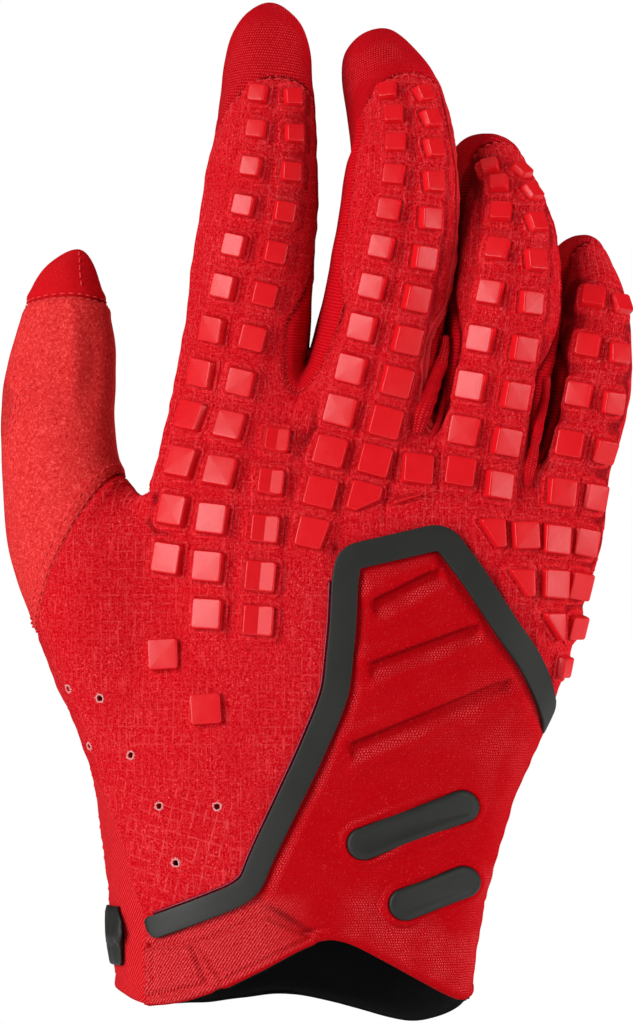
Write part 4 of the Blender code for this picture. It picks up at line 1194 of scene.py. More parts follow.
def groove_relief(xz):
    """Flex grooves: a steep upper edge, a floor that eases out below, a raised lower lip and upper brow."""
    total = np.zeros(len(xz))
    for s, n, length in along_grooves(xz):
        ends = within(s, length, 0.0012, 0.0016, 0.0016, 0.0016)
        wide = within(s, length, 0.0042, 0.0042, 0.0040, 0.0040)
        floor = smooth((GROOVE_HALF - n) / 0.0006) * smooth((n + 1.25 * GROOVE_HALF) / (1.3 * GROOVE_HALF))
        lip = bell(n, -1.9 * GROOVE_HALF, 0.0016)
        brow = bell(n, 1.7 * GROOVE_HALF, 0.0020)
        total += wide * (GROOVE_LIP * lip + GROOVE_BROW * brow) - ends * GROOVE_DEPTH * floor
    return total


def groove_shade(xz):
    """Painted shade along the steep upper edges of the grooves."""
    total = np.zeros(len(xz))
    for s, n, length in along_grooves(xz):
        ends = within(s, length, 0.0010, 0.0010, 0.0020, 0.0030)
        total += ends * bell(n, GROOVE_HALF - 0.0003, 0.00065)
    return total


def wrist_relief(xz):
    """The pad inside the trim, its grooves, the rims round the bars and the pressed patches."""
    outline = wrist_outline()
    pad = inside(xz, outline)
    trim = line_distance(xz, in_metres(TRIM_LINE)) - 0.5 * TRIM_WIDTH
    total = PAD_RISE * smooth(trim / 0.0032) * smooth((xz[:, 1] - up(0.06)) / 0.02)
    total += groove_relief(xz)
    for x, z, length in BARS:
        around = bar_distance(xz, x, z, length)
        total += RIM_RISE * bell(around, 0.0011, 0.0006)
        total -= BAR_SINK * smooth(-around / 0.0006)
    for patch in PATCHES:
        depth = -signed_distance(xz, in_metres(patch))
        total += PATCH_RISE * smooth(depth / 0.0012) - PATCH_RIM * bell(depth, -0.0002, 0.0006)
    return np.where(pad, total, 0.0)


def bar_line(x, z, length):
    """Ends of a bar's straight middle part."""
    slope = radians(BAR_SLOPE)
    reach = np.array([cos(slope), sin(slope)]) * 0.5 * (length - BAR_WIDTH)
    middle = spot(x, z)
    return [tuple(middle - reach), tuple(middle + reach)]


def bar_distance(xz, x, z, length):
    """Distance to the edge of a bar, below zero inside it."""
    return line_distance(xz, bar_line(x, z, length)) - 0.5 * BAR_WIDTH


def crease_relief(points, facing):
    """Folds and creases of the back of the hand."""
    xz = points[:, [0, 2]]
    total = np.zeros(len(xz))
    for x0, z0, x1, z1, depth, width in CREASES:
        a, b = spot(x0, z0), spot(x1, z1)
        t = np.clip(((xz - a) @ (b - a)) / ((b - a) @ (b - a)), 0.0, 1.0)
        gap = norm(xz - a - t[:, None] * (b - a), axis=1)
        total -= depth * np.sin(pi * np.clip(t, 0.04, 0.96)) ** 0.5 * bell(gap, 0.0, width)
    return np.where(facing, total, 0.0)


def cubic_points(count, controls):
    """Points of a column whose cubic passes through four control points at equal parameters."""
    out = []
    knots = (0.0, 1.0 / 3.0, 2.0 / 3.0, 1.0)
    for k in range(count):
        t = k / max(count - 1, 1)
        x = z = 0.0
        for i, (cx, cz) in enumerate(controls):
            weight = 1.0
            for j, knot in enumerate(knots):
                if j != i:
                    weight *= (t - knot) / (knots[i] - knot)
            x += weight * across(cx)
            z += weight * up(cz)
        out.append((x, z))
    return out


class Block:
    """One raised rubber block: its side and its frame, which leans from the cloth's own."""

    def __init__(self, skin, x, z, heading, share, lean_right, lean_up, chance):
        self.side = BLOCK_SIDE_SMALL + (BLOCK_SIDE_LARGE - BLOCK_SIDE_SMALL) * share
        self.point, normal = skin.on_back(x, z)
        right = radians(lean_right + chance.uniform(-LEAN_SPREAD, LEAN_SPREAD))
        rise = radians(lean_up + chance.uniform(-LEAN_SPREAD, LEAN_SPREAD))
        self.normal = unit(normal + np.array([tan(right), 0.0, tan(rise)]))
        along = np.array([heading[0], 0.0, heading[1]])
        self.along = unit(along - self.normal * along.dot(self.normal))
        self.over = np.cross(self.normal, self.along)
        self.fold = 0.0
        self.bare = False

    def at(self, a, b):
        """The point of the block's middle plane that lies a over and b along."""
        return self.point + self.over * a + self.along * b

    def local(self, points):
        """Places of points in the block's frame: over, along and out."""
        away = points - self.point
        return np.stack([away @ self.over, away @ self.along, away @ self.normal], axis=-1)


def make_blocks(skin):
    chance = np.random.default_rng(3)
    blocks = []
    for fold, count, first, last, right, right_end, rise, *controls in BLOCK_COLUMNS:
        column = cubic_points(count, controls)
        for k, (x, z) in enumerate(column):
            before = column[max(k - 2, 0)]
            after = column[min(k + 2, count - 1)]
            heading = (before[0] - after[0], before[1] - after[1])
            grown = min(1.0, BLOCK_GROWTH * k / max(count - 1, 1)) ** 1.3
            lean = right + (right_end - right) * k / max(count - 1, 1)
            blocks.append(Block(skin, x, z, heading, first + (last - first) * grown, lean, rise, chance))
            blocks[-1].fold = tan(radians(fold))
    for x, z, share, turn, right in SINGLE_BLOCKS:
        heading = (sin(radians(turn)), cos(radians(turn)))
        blocks.append(Block(skin, across(x), up(z), heading, share, right, 0, chance))
        blocks[-1].bare = x < 0.0
    return blocks


def block_relief(skin, blocks):
    """The cloth stands up round each block and sinks between them; the second field marks the channels
    between blocks for painted shade.
    """
    tree = point_tree(skin.points.tolist())
    rise = np.zeros(len(skin.points))
    close = np.zeros(len(skin.points))
    for block in blocks:
        if block.bare:
            continue
        near = [n for _, n, _ in tree.find_range(block.point, PAD_REACH)]
        near = np.array([n for n in near if skin.normals[n] @ block.normal > 0.3])
        place = block.local(skin.points[near])
        q = np.abs(place[:, :2]) - 0.5 * block.side + PAD_CORNER
        gap = norm(np.maximum(q, 0.0), axis=1) + np.minimum(q.max(axis=1), 0.0) - PAD_CORNER
        lift = PAD_LIFT * smooth((0.0019 - gap) / 0.0013)
        rise[near] = np.maximum(rise[near], lift)
        close[near] = np.maximum(close[near], smooth((0.0042 - gap) / 0.0014))
    return rise, close * (1.0 - rise / PAD_LIFT)


def quad_sides(corners):
    """Both ends of each side of quads: all the first sides, then all the second ones and so on."""
    return np.concatenate([corners[:, [k, (k + 1) % 4]] for k in range(4)])


def unshared(pairs, count):
    """True for the sides that no neighbour has the other way round."""
    return ~np.isin(pairs[:, 0] * count + pairs[:, 1], pairs[:, 1] * count + pairs[:, 0])


def open_edge(skin):
    """Point numbers of the cuff's open edge, as pairs."""
    pairs = quad_sides(skin.quads)
    pairs = pairs[unshared(pairs, len(skin.points))]
    return pairs[skin.points[pairs[:, 0], 2] < up(EDGE_BELOW)]


def edge_distance(skin):
    """Distance of every point to the cuff's open edge, at most the far one."""
    tree = point_tree(skin.points[open_edge(skin)].reshape(-1, 3).tolist())
    low = skin.points[:, 2] < up(NEAR_BELOW)
    found = [tree.find(p)[2] if near else FAR_EDGE for p, near in zip(skin.points.tolist(), low)]
    return np.minimum(found, FAR_EDGE)


def shape_skin(skin, edges, blocks):
    """All the heights of the cloth, in metres along the normals, and the painted shade and painted shadow
    that go with them.
    """
    facing = skin.normals[:, 1] < 0.25
    back = skin.vertex_mask(np.isin(skin.regions, BACKS))
    xz = skin.points[:, [0, 2]]
    seams = seam_relief(skin, edges)
    pads, channels = (np.where(back, field, 0.0) for field in block_relief(skin, blocks))
    creases = crease_relief(skin.points, facing)
    relief_and_painted_shade = seams + pads + creases
    relief_and_painted_shade += np.where(back & facing, wrist_relief(xz), 0.0)
    side = line_distance(xz, in_metres(SIDE_LINE[1:6]))
    relief_and_painted_shade += np.where(facing & back, SIDE_RIDGE * bell(side, 0.0, 0.0011), 0.0)
    groove = bell(skin.hem, 0.0024, 0.0006)
    relief_and_painted_shade += HEM_ROLL * bell(skin.hem, 0.0010, 0.0008) - HEM_GROOVE * groove
    for height, length, seed in UNEVEN:
        relief_and_painted_shade += height * ripple(skin.points, length, seed)
    # Darker inside the thumb's patch
    patch_weight = smooth(-signed_distance(xz, in_metres(THUMB_PATCH)) / 0.0006)
    thumb = skin.vertex_mask(skin.regions == THUMB)
    caps = skin.vertex_mask(np.isin(skin.regions, CAPS))
    # Painted shade in seams, creases, grooves, hem and channels; darker at the thumb's patch; painted shadow
    # of fingers
    shade = SEAM_SHADE * np.minimum(seams, 0.0) + CREASE_SHADE * np.minimum(creases, 0.0)
    shade -= GROOVE_SHADE * np.where(back & facing, groove_shade(xz), 0.0)
    shade -= THUMB_PATCH_DARKENING * np.where(thumb & facing, patch_weight, 0.0) + HEM_SHADE * groove
    covered = np.where(back, BACK_SHELTER, np.where(caps, CAP_SHELTER, SIDE_SHELTER))
    shade -= CHANNEL_SHADE * channels + covered * shelter(skin)
    return relief_and_painted_shade, shade


def shelter(skin):
    """Share of the directions towards the softbox that neighbouring fingers close off at each point."""
    towards = unit(np.array(GLINT_TOWARDS))
    chance = np.random.default_rng(5)
    rays = [unit(towards + chance.normal(size=3) * SHELTER_SPREAD) for _ in range(SHELTER_RAYS)]
    rays = np.array(rays)
    closed = np.zeros(len(skin.points))
    seen = (skin.normals[:, 1] < 0.3) & (skin.points[:, 2] > up(SHELTER_FROM))
    seen &= ~skin.vertex_mask(skin.lined)
    for number in np.nonzero(seen)[0]:
        normal = skin.normals[number]
        start = Vector(skin.points[number] + normal * 0.0006)
        used = rays[rays @ normal > 0.08]
        hits = sum(skin.tree.ray_cast(start, Vector(ray), SHELTER_REACH)[0] is not None for ray in used)
        closed[number] = (hits + 0.5 * (len(rays) - len(used))) / len(rays)
    return smooth((closed - 0.08) / 0.72)


def punch_vents(skin):
    """Round holes: the four faces round the nearest point go, and the ring left is drawn into a circle."""
    keep = np.ones(len(skin.quads), bool)
    centres = []
    for x, z in VENTS:
        point, normal = skin.on_back(across(x), up(z))
        nearest = int(np.argmin(norm(skin.points - point, axis=1)))
        around = (skin.quads == nearest).any(axis=1)
        keep &= ~around
        ring = np.setdiff1d(skin.quads[around], [nearest])
        away = skin.points[ring] - point
        away -= np.outer(away @ normal, normal)
        away /= norm(away, axis=1)[:, None]
        skin.points[ring] = point + away * VENT_RADIUS
        centres.append((point, normal))
    skin.quads, skin.regions, skin.lined, skin.places = (
        part[keep] for part in (skin.quads, skin.regions, skin.lined, skin.places)
    )
    return centres


def at_corners(places, faces):
    """Texture places of the corners of faces from those of the points."""
    return [places[n] for face in faces for n in face]


def new_object(name, points, faces, material, places=None, slot=None, replaces=()):
    """A piece of the glove that rides on the one body."""
    mesh = bpy.data.meshes.new(name)
    mesh.from_pydata(np.asarray(points).tolist(), [], faces)
    if places is not None:
        layer = mesh.uv_layers.new(name="UVMap")
        layer.data.foreach_set("uv", np.asarray(places, np.float32).ravel() * 1000.0)
    mesh.materials.append(material)
    mesh.shade_smooth()
    mesh.update()
    obj = placed(name, mesh)
    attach(obj, "root")
    if replaces:
        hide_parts(*replaces)
    return obj


def panel(name, skin, mask, material, slot, node, wall=WALL, lift=0.0, fields=None, spots=None):
    """A wall of cloth over some faces of the skin, with its rim rounded at the open edge of the cuff."""
    places = skin.places[mask]
    used, index = np.unique(skin.quads[mask], return_inverse=True)
    quads = index.reshape(-1, 4)
    normals = skin.normals[used]
    outer = (skin.points if spots is None else spots)[used] + normals * lift
    pairs = quad_sides(quads)
    open_side = unshared(pairs, len(used))
    rim_pairs, rim_places = pairs[open_side], quad_sides(places)[open_side]
    rows = rolled_rows(outer, normals, rim_pairs, wall)
    offsets = np.cumsum([0, *(len(row) for row in rows)])
    inner = int(offsets[RIM_STEPS])
    along_rim = np.searchsorted(np.unique(rim_pairs), rim_pairs)
    lines = [rim_pairs, *(along_rim + offsets[k] for k in range(1, RIM_STEPS)), rim_pairs + inner]
    faces = [quads, quads[:, ::-1] + inner]
    uvs = [places, places[:, ::-1]]
    for step, (high, low) in enumerate(zip(lines, lines[1:])):
        faces.append(np.stack([high[:, 1], high[:, 0], low[:, 0], low[:, 1]], axis=1))
        near, far = (np.array([0.0, 1.5 * wall * (step + k) / RIM_STEPS]) for k in (0, 1))
        second, first = rim_places[:, 1], rim_places[:, 0]
        uvs.append(np.stack([second - near, first - near, first - far, second - far], axis=1))
    obj = new_object(
        name, np.concatenate(rows), np.concatenate(faces).tolist(), material,
        np.concatenate(uvs), slot, (node,) if node else (),
    )
    seams = rim_pairs[(skin.hem[used][rim_pairs] > HEM_SOFT).any(axis=1)]
    sharpen(obj, seams, inner)
    for key, field in (fields or {}).items():
        values = np.zeros(len(obj.data.vertices))
        values[:len(used)] = field[used]
        give_values(obj, key, values)


def rolled_rows(outer, normals, rim_pairs, wall):
    """Outer points, rows round the rim, which bulges only at the open edge of the cuff, and inner points."""
    bulge = hem_direction(outer, normals, rim_pairs) * (outer[:, 2] < up(BULGE_BELOW))[:, None]
    rim = np.unique(rim_pairs)
    rows = [outer]
    for step in range(1, RIM_STEPS + 1):
        turn = pi * step / RIM_STEPS
        row = outer - normals * wall * 0.5 * (1.0 - cos(turn)) + bulge * (0.5 * wall * sin(turn))
        rows.append(row if step == RIM_STEPS else row[rim])
    return rows


def sharpen(obj, pairs, count):
    """Keeps the shading of a piece apart along some of its edges, given by pairs of points."""
    ends = np.empty(2 * len(obj.data.edges), np.int64)
    obj.data.edges.foreach_get("vertices", ends)
    ends = np.sort(ends.reshape(-1, 2), axis=1)
    pairs = np.sort(pairs, axis=1)
    sharp = np.isin(ends[:, 0] * count + ends[:, 1], pairs[:, 0] * count + pairs[:, 1])
    obj.data.attributes.new("sharp_edge", "BOOLEAN", "EDGE").data.foreach_set("value", sharp)


def hem_direction(points, normals, rim_pairs):
    """Unit direction at each rim point that leads off the cloth, square to the rim and the normal."""
    along = np.zeros_like(points)
    step = points[rim_pairs[:, 1]] - points[rim_pairs[:, 0]]
    np.add.at(along, rim_pairs[:, 0], step)
    np.add.at(along, rim_pairs[:, 1], step)
    out = np.cross(along, normals)
    return out / np.maximum(norm(out, axis=1), 1e-12)[:, None]


def arc_points(start, corner, end, steps):
    """Points of a round bend from start to end that leaves out the corner."""
    shares = [step / steps for step in range(steps + 1)]
    return [(1 - t) ** 2 * start + 2 * t * (1 - t) * corner + t**2 * end for t in shares]


def inset_corners(corners, inset):
    """Corners of a convex polygon whose sides are moved in."""
    lines = []
    for k, corner in enumerate(corners):
        p, q = np.array(corner), np.array(corners[(k + 1) % len(corners)])
        along = unit(q - p)
        lines.append((p + sideways(along) * inset, along))
    moved = []
    for (p, d), (q, e) in zip(lines[-1:] + lines, lines):
        cross = d[0] * e[1] - d[1] * e[0]
        t = ((q - p)[0] * e[1] - (q - p)[1] * e[0]) / cross
        moved.append(p + d * t)
    return moved


def rounded_polygon(corners, inset, radius):
    """Points round a convex polygon moved in by inset, with round corners and points along its sides."""
    moved = inset_corners(corners, inset)
    count = len(moved)
    arcs = []
    for k in range(count):
        before, corner, after = moved[k - 1], moved[k], moved[(k + 1) % count]
        d, e = unit(corner - before), unit(after - corner)
        turn = acos(max(-1.0, min(1.0, d.dot(e))))
        room = 0.45 * min(norm(corner - before), norm(after - corner))
        reach = min(radius * tan(0.5 * turn), room)
        arcs.append(arc_points(corner - d * reach, corner, corner + e * reach, BLOCK_CORNER_POINTS))
    out = []
    for k, arc in enumerate(arcs):
        out += arc
        last, first = arc[-1], arcs[(k + 1) % count][0]
        for step in range(1, BLOCK_EDGE_POINTS + 1):
            out.append(last + (first - last) * step / (BLOCK_EDGE_POINTS + 1))
    return out


def clipped(corners, point, normal):
    """The part of a polygon on the side of a line that the normal points to."""
    out = []
    for k, p in enumerate(corners):
        q = corners[(k + 1) % len(corners)]
        a, b = (np.subtract(p, point)) @ normal, (np.subtract(q, point)) @ normal
        if a >= 0.0:
            out.append(tuple(p))
        if (a >= 0.0) != (b >= 0.0):
            out.append(tuple(np.array(p) + np.subtract(q, p) * (a / (a - b))))
    return out


def block_outline(block):
    """Corners of a block's side, cut off where a cut line passes over it."""
    half = 0.5 * block.side
    corners = [(-half, -half), (half, -half), (half, half), (-half, half)]
    for x0, z0, x1, z1 in BLOCK_CUTS:
        a = np.array([across(x0), block.point[1], up(z0)])
        b = np.array([across(x1), block.point[1], up(z1)])
        if norm((0.5 * (a + b) - block.point)[[0, 2]]) > CUT_REACH:
            continue
        kept = np.array([a[2] - b[2], 0.0, b[0] - a[0]])
        normal = unit(np.array([kept @ block.over, kept @ block.along]))
        corners = clipped(corners, block.local(a)[:2], normal)
    return [c for k, c in enumerate(corners) if dist(c, corners[k - 1]) > SHORTEST_SIDE]


def block_field(skin, blocks, material):
    """All the blocks as one piece: straight sides on the cloth and a bevelled top, flat or folded in two."""
    points, faces, folded = [], [], []
    for block in blocks:
        corners = block_outline(block)
        first = len(points)
        for inset, radius, height, firm in BLOCK_RINGS:
            for a, b in rounded_polygon(corners, inset, radius):
                flat = block.at(a, b)
                dip = block.fold * max(0.0, FOLD_REACH * block.side - abs(a)) if firm == 1.0 else 0.0
                top = flat + block.normal * (BLOCK_HEIGHT + min(height, 0.0) - dip)
                if firm < 1.0:
                    found, normal = skin.frame_at(flat)
                    low = found + normal * height
                    top = low + (top - low) * firm
                points.append(top)
        size = (len(points) - first) // len(BLOCK_RINGS)
        faces += ring_faces(first, size, len(BLOCK_RINGS))
        top = cap_faces(points, len(points) - size, size)
        if block.fold:
            low = BLOCK_HEIGHT - block.fold * FOLD_REACH * block.side
            points[-1] = block.point + block.normal * low
            folded += range(len(faces), len(faces) + len(top))
        faces += top
    obj = new_object("rubber_blocks", points, faces, material, slot="woven", replaces=("back_panel",))
    for number in folded:
        obj.data.polygons[number].use_smooth = False
    return obj


def ring_faces(first, size, rows, closed=False):
    """Sides between rings of points that follow each other, and back to the first where closed."""
    faces = []
    for row in range(rows if closed else rows - 1):
        low, high = first + row * size, first + (row + 1) % rows * size
        for k in range(size):
            n = (k + 1) % size
            faces.append((low + k, low + n, high + n, high + k))
    return faces


def end_faces(size, count):
    """Caps over the first and the last ring of a bar with that many points."""
    return [tuple(range(size - 1, -1, -1)), tuple(range(count - size, count))]


def block_collars(skin, blocks, material):
    """The cloth's own raised rim round each block, in lighter cloth as a painted highlight, with painted
    shade by the block.
    """
    points, faces, places, shades = [], [], [], []
    for block in blocks:
        if block.bare:
            continue
        first = len(points)
        corners = block_outline(block)
        for inset, radius, height, shade in COLLAR_RINGS:
            for a, b in rounded_polygon(corners, inset, radius):
                flat = block.at(a, b)
                found, normal = skin.frame_at(flat)
                points.append(found + normal * height)
                places.append(skin.place_at(found))
                shades.append(shade)
        size = (len(points) - first) // len(COLLAR_RINGS)
        faces += ring_faces(first, size, len(COLLAR_RINGS))
    obj = new_object("block_collars", points, faces, material, at_corners(places, faces), "woven")
    # Painted shade in the groove between the collar and the block
    give_values(obj, "relief_and_painted_shade", shades)


def give_values(obj, name, values):
    """A number at each point of a piece for its material."""
    layer = obj.data.attributes.new(name, "FLOAT", "POINT")
    layer.data.foreach_set("value", np.asarray(values, np.float32))


def tube(line, normals, section, closed=False):
    """Points and faces of a section of (side, out) offsets carried along a line."""
    points = []
    size = len(section[0])
    for k, (point, normal) in enumerate(zip(line, normals)):
        before = line[k - 1] if k > 0 or closed else point
        after = line[(k + 1) % len(line)] if k < len(line) - 1 or closed else point
        along = unit(after - before)
        side = unit(np.cross(along, normal))
        for a, b in section[k % len(section)]:
            points.append(point + side * a + normal * b)
    faces = ring_faces(0, size, len(line), closed)
    return points, faces if closed else faces + end_faces(size, len(points))


def circle(radius, sides, flat=1.0, lift=0.0):
    out = []
    for k in range(sides):
        angle = 2.0 * pi * k / sides
        out.append((radius * cos(angle), lift + flat * radius * sin(angle)))
    return out


def resampled(points, spacing):
    """Points at an even spacing along a line."""
    points = np.asarray(points)
    reach = travelled(points)
    count = max(2, int(round(reach[-1] / spacing)) + 1)
    where = np.linspace(0.0, reach[-1], count)
    return np.stack([np.interp(where, reach, points[:, k]) for k in range(3)], axis=1)


def softened(points, rounds=6):
    """The line with its small steps smoothed out, ends kept."""
    points = np.array(points)
    for _ in range(rounds):
        points[1:-1] = 0.25 * points[:-2] + 0.5 * points[1:-1] + 0.25 * points[2:]
    return points


def moved_sideways(skin, line, distance):
    """A line on the skin moved across itself, and the normals there."""
    found, normals = [], []
    distance = np.broadcast_to(distance, len(line))
    for k, point in enumerate(line):
        base, normal = skin.frame_at(point)
        along = line[min(k + 1, len(line) - 1)] - line[max(k - 1, 0)]
        side = unit(np.cross(normal, along))
        base, normal = skin.frame_at(base + side * distance[k])
        found.append(base)
        normals.append(normal)
    return np.array(found), np.array(normals)


class Threads:
    """Stitches gathered into one piece."""

    def __init__(self):
        self.points = []
        self.faces = []

    def add(self, points, faces):
        first = len(self.points)
        self.points += list(points)
        self.faces += [tuple(first + i for i in face) for face in faces]

    def stitch(self, start, end, normal, radius):
        """One thread that rises out of the cloth and dips back into it."""
        line, section = [], []
        for t in (0.0, 0.2, 0.5, 0.8, 1.0):
            line.append(start + (end - start) * t + normal * radius * (1.6 * sin(pi * t) - 0.5))
            section.append(circle(radius * (0.75 if t in (0.0, 1.0) else 1.0), 6))
        self.add(*tube(line, [normal] * 5, section))

    def row(self, skin, line, distance, length=0.0016, gap=0.0007, radius=0.00020):
        """Stitches along a line on the skin, moved sideways from it."""
        line = resampled(line, 0.001)
        line, normals = moved_sideways(skin, line, distance)
        step = length + gap
        reach = travelled(line)
        at = 0.5 * gap
        while at + length < reach[-1]:
            ends = [np.array([np.interp(s, reach, line[:, k]) for k in range(3)]) for s in (at, at + length)]
            normal = unit(np.array([np.interp(at + 0.5 * length, reach, normals[:, k]) for k in range(3)]))
            self.stitch(ends[0], ends[1], normal, radius)
            at += step


def drawn_on_back(skin, points):
    """An even line on the back of the skin through points given by their shares across and up."""
    line = [skin.on_back(across(x), up(z))[0] for x, z in points]
    return resampled(softened(resampled(line, 0.001), 3), 0.001)


def chain_line(skin, chain):
    return softened(skin.points[chain], 8)


def seam_threads(skin, edges, material):
    """Stitches along the seams between regions and along the drawn lines."""
    threads = Threads()
    for first, second, distance, length, gap in SEAM_STITCHES:
        for chain in seam_chains(edges, first, second):
            line = chain_line(skin, chain)
            if first == BACK and second in (GUSSET_1, GUSSET_2, GUSSET_3):
                line = line[line[:, 1] < 0.012]
            if len(line) < 5:
                continue
            side = region_side(skin, line, first)
            threads.row(skin, line, side * distance, length, gap)
    for points, distances in DRAWN_STITCHES:
        for distance in distances:
            threads.row(skin, drawn_on_back(skin, points), distance)
    chance = np.random.default_rng(21)
    for first, second in FRAYED_SEAMS:
        for chain in seam_chains(edges, first, second):
            line = resampled(chain_line(skin, chain), 0.0005)
            for k in range(1, len(line) - 1):
                point, normal = skin.frame_at(line[k] + chance.normal(size=3) * FRAY_SPREAD)
                along = unit(line[k + 1] - line[k - 1])
                turn = chance.uniform(0.0, pi)
                way = along * cos(turn) + np.cross(normal, along) * sin(turn)
                reach = way * chance.uniform(*FRAY_LENGTHS)
                threads.stitch(point - reach, point + reach, normal, chance.uniform(*FRAY_RADII))
    return new_object("seam_stitches", threads.points, threads.faces, material, slot="woven")


def region_side(skin, line, region):
    """1 or -1: the side of a seam, as moved_sideways takes it, on which a region lies."""
    middle = len(line) // 2
    base, normal = skin.frame_at(line[middle])
    along = line[min(middle + 1, len(line) - 1)] - line[middle - 1]
    side = unit(np.cross(normal, along))
    index = skin.tree.find_nearest(Vector(base + side * 0.0015))[2]
    return 1.0 if skin.regions[index] == region else -1.0


def welts(skin, edges, material):
    """Fuzzy raised seams down the right edges of the middle and ring fingers."""
    threads = Threads()
    for first, second in WELT_SEAMS:
        for number, chain in enumerate(seam_chains(edges, first, second)):
            line = resampled(chain_line(skin, chain), 0.0006)
            line = line[[skin.frame_at(point)[1][0] > 0.05 for point in line]]
            if len(line) < 12 or norm(np.diff(line, axis=0), axis=1).max() > 0.002:
                continue
            side = region_side(skin, line, BACK)
            for offset, radius, lift in WELT_RIDGES:
                wander = WELT_WANDER * ripple(line, 0.022, 40 + number)
                moved, normals = moved_sideways(skin, line, side * (offset + np.abs(wander)))
                moved = softened(moved, 2)
                swelling = 1.0 + 0.22 * ripple(line, 0.0040, 20 + number)
                swelling += 0.12 * ripple(moved, 0.0016, 30 + number)
                section = [circle(radius * swell, 8, 0.9, lift) for swell in swelling]
                threads.add(*tube(moved, normals, section))
    return new_object("finger_welts", threads.points, threads.faces, material, slot="woven")


def folds(skin, material):
    """Soft folds of gusset cloth that stand up beside the seams at the roots of the fingers."""
    for number, (radius, line) in enumerate(FOLDS):
        path = [skin.on_back(across(x) - FOLD_OUT, up(z))[0] + (FOLD_OUT, FOLD_SINK, 0.0) for x, z in line]
        path = softened(resampled(path, FOLD_STEP), 6)
        share = np.linspace(0.0, 0.985, len(path))
        grown = (0.25 + 0.75 * share**0.6) * np.sqrt(1.0 - share**8)
        wave = ripple(path, 0.0035, 60 + number)
        section = [circle(radius * g * (1.0 + 0.10 * w), FOLD_SIDES, 0.8) for g, w in zip(grown, wave)]
        points, faces = tube(path, [np.array((0.0, -1.0, 0.0))] * len(path), section)
        places = []
        for k in range(len(path) - 1):
            for j in range(FOLD_SIDES):
                places += [(k, j), (k, j + 1), (k + 1, j + 1), (k + 1, j)]
        places = np.array(places + [(0, 0)] * 2 * FOLD_SIDES) * FOLD_STEP
        new_object(f"root_fold_{number + 1}", points, faces, material, places, slot="knit")


def rounded_line(points, radius, steps=6):
    """A line in the X-Z plane with its corners rounded."""
    out = [np.array(points[0])]
    for k in range(1, len(points) - 1):
        p, q, r = (np.array(points[k + n]) for n in (-1, 0, 1))
        reach = min(radius, 0.45 * norm(q - p), 0.45 * norm(r - q))
        out += arc_points(q + unit(p - q) * reach, q, q + unit(r - q) * reach, steps)
    out.append(np.array(points[-1]))
    return np.array(out)


def flat_resampled(points, spacing):
    points = np.asarray(points)
    whole = np.stack([points[:, 0], np.zeros(len(points)), points[:, 1]], axis=1)
    return resampled(whole, spacing)[:, [0, 2]]


def offset_line(line, distance):
    """A line in the X-Z plane moved to its left by the mitre at each point."""
    steps = np.diff(line, axis=0)
    steps /= norm(steps, axis=1)[:, None]
    before = np.concatenate([steps[:1], steps])
    after = np.concatenate([steps, steps[-1:]])
    along = before + after
    along /= norm(along, axis=1)[:, None]
    left = np.stack([-along[:, 1], along[:, 0]], axis=1)
    stretch = np.maximum((along * after).sum(axis=1), 0.6)
    return line + left * (distance / stretch)[:, None]


def trim_pieces(skin, rubber, lip_material):
    """The moulded trim with its flat top, and the glossy lip along its outer edge."""
    line = flat_resampled(rounded_line(in_metres(TRIM_LINE), TRIM_BEND), TRIM_STEP)
    path = [skin.on_back(x, z)[0] for x, z in line]
    path = carried_on(skin, path, TRIM_TAIL)
    reach = travelled(path)
    half = 0.5 * TRIM_WIDTH
    slim = 0.88 + 0.12 * smooth((reach - 0.02) / 0.06)
    upper, lower = (
        1.0 - (radius - np.sqrt(np.maximum(radius**2 - np.maximum(radius - reach, 0.0) ** 2, 0.0))) / half
        for radius in TRIM_CORNERS
    )
    points, faces = strip_on_skin(skin, path, half, TRIM_SECTION, upper * slim, lower * slim)
    new_object("wrist_trim_rubber", points, faces, rubber, slot="rubber_black", replaces=("wrist_trim",))
    threads = Threads()
    moved = offset_line(line, 1.0) - line
    count = int(np.argmin(norm(line - in_metres((TRIM_LINE[LIP_END],)), axis=1)))
    edge = (line + moved * (slim[:len(line)] * half + LIP_GAP)[:, None])[3:count]
    spots = [skin.on_back(x, z) for x, z in edge]
    path = softened([p for p, _ in spots], 3)
    threads.add(*tube(path, [n for _, n in spots], [circle(LIP_RADIUS, 8, 1.0, LIP_RADIUS)] * len(path)))
    new_object("wrist_trim_lip", threads.points, threads.faces, lip_material, slot="woven")


def carried_on(skin, path, length, step=TRIM_STEP):
    """A path on the skin led on from its end, straight ahead round the curve of the surface."""
    path = [np.array(p) for p in path]
    along = unit(path[-1] - path[-5])
    for _ in range(int(length / step)):
        point, normal = skin.frame_at(path[-1] + along * step)
        along = unit(point - path[-1])
        along = unit(along - normal * along.dot(normal))
        path.append(point)
    return path


def strip_on_skin(skin, path, half, section, upper, lower):
    """A moulded strip with a section of (share of half, height), square to a path on the skin."""
    points = []
    path = np.array(path)
    normals = softened([skin.frame_at(p)[1] for p in path], 4)
    size = len(section)
    for k, point in enumerate(path):
        along = unit(path[min(k + 3, len(path) - 1)] - path[max(k - 3, 0)])
        side = unit(np.cross(normals[k], along))
        for share, height in section:
            wide = share * half * (upper[k] if share < 0.0 else lower[k])
            base, normal = skin.frame_at(point - side * wide)
            points.append(base + normal * height)
    return points, ring_faces(0, size, len(path)) + end_faces(size, len(points))


def rounded_rings(skin, ends, rings):
    """Rings of points on the back round a straight middle part, each with its radius and height."""
    a, b = (np.array(p) for p in ends)
    along = unit(b - a)
    over = sideways(along)
    points, places = [], []
    for radius, height in rings:
        for k in range(BAR_POINTS):
            angle = 2.0 * pi * k / BAR_POINTS
            end = b if cos(angle) >= 0.0 else a
            place = end + radius * (along * cos(angle) + over * sin(angle))
            point, normal = skin.on_back(*place)
            points.append(point + normal * (height + BAR_LIFT))
            places.append(skin.place_at(point))
    return points, places


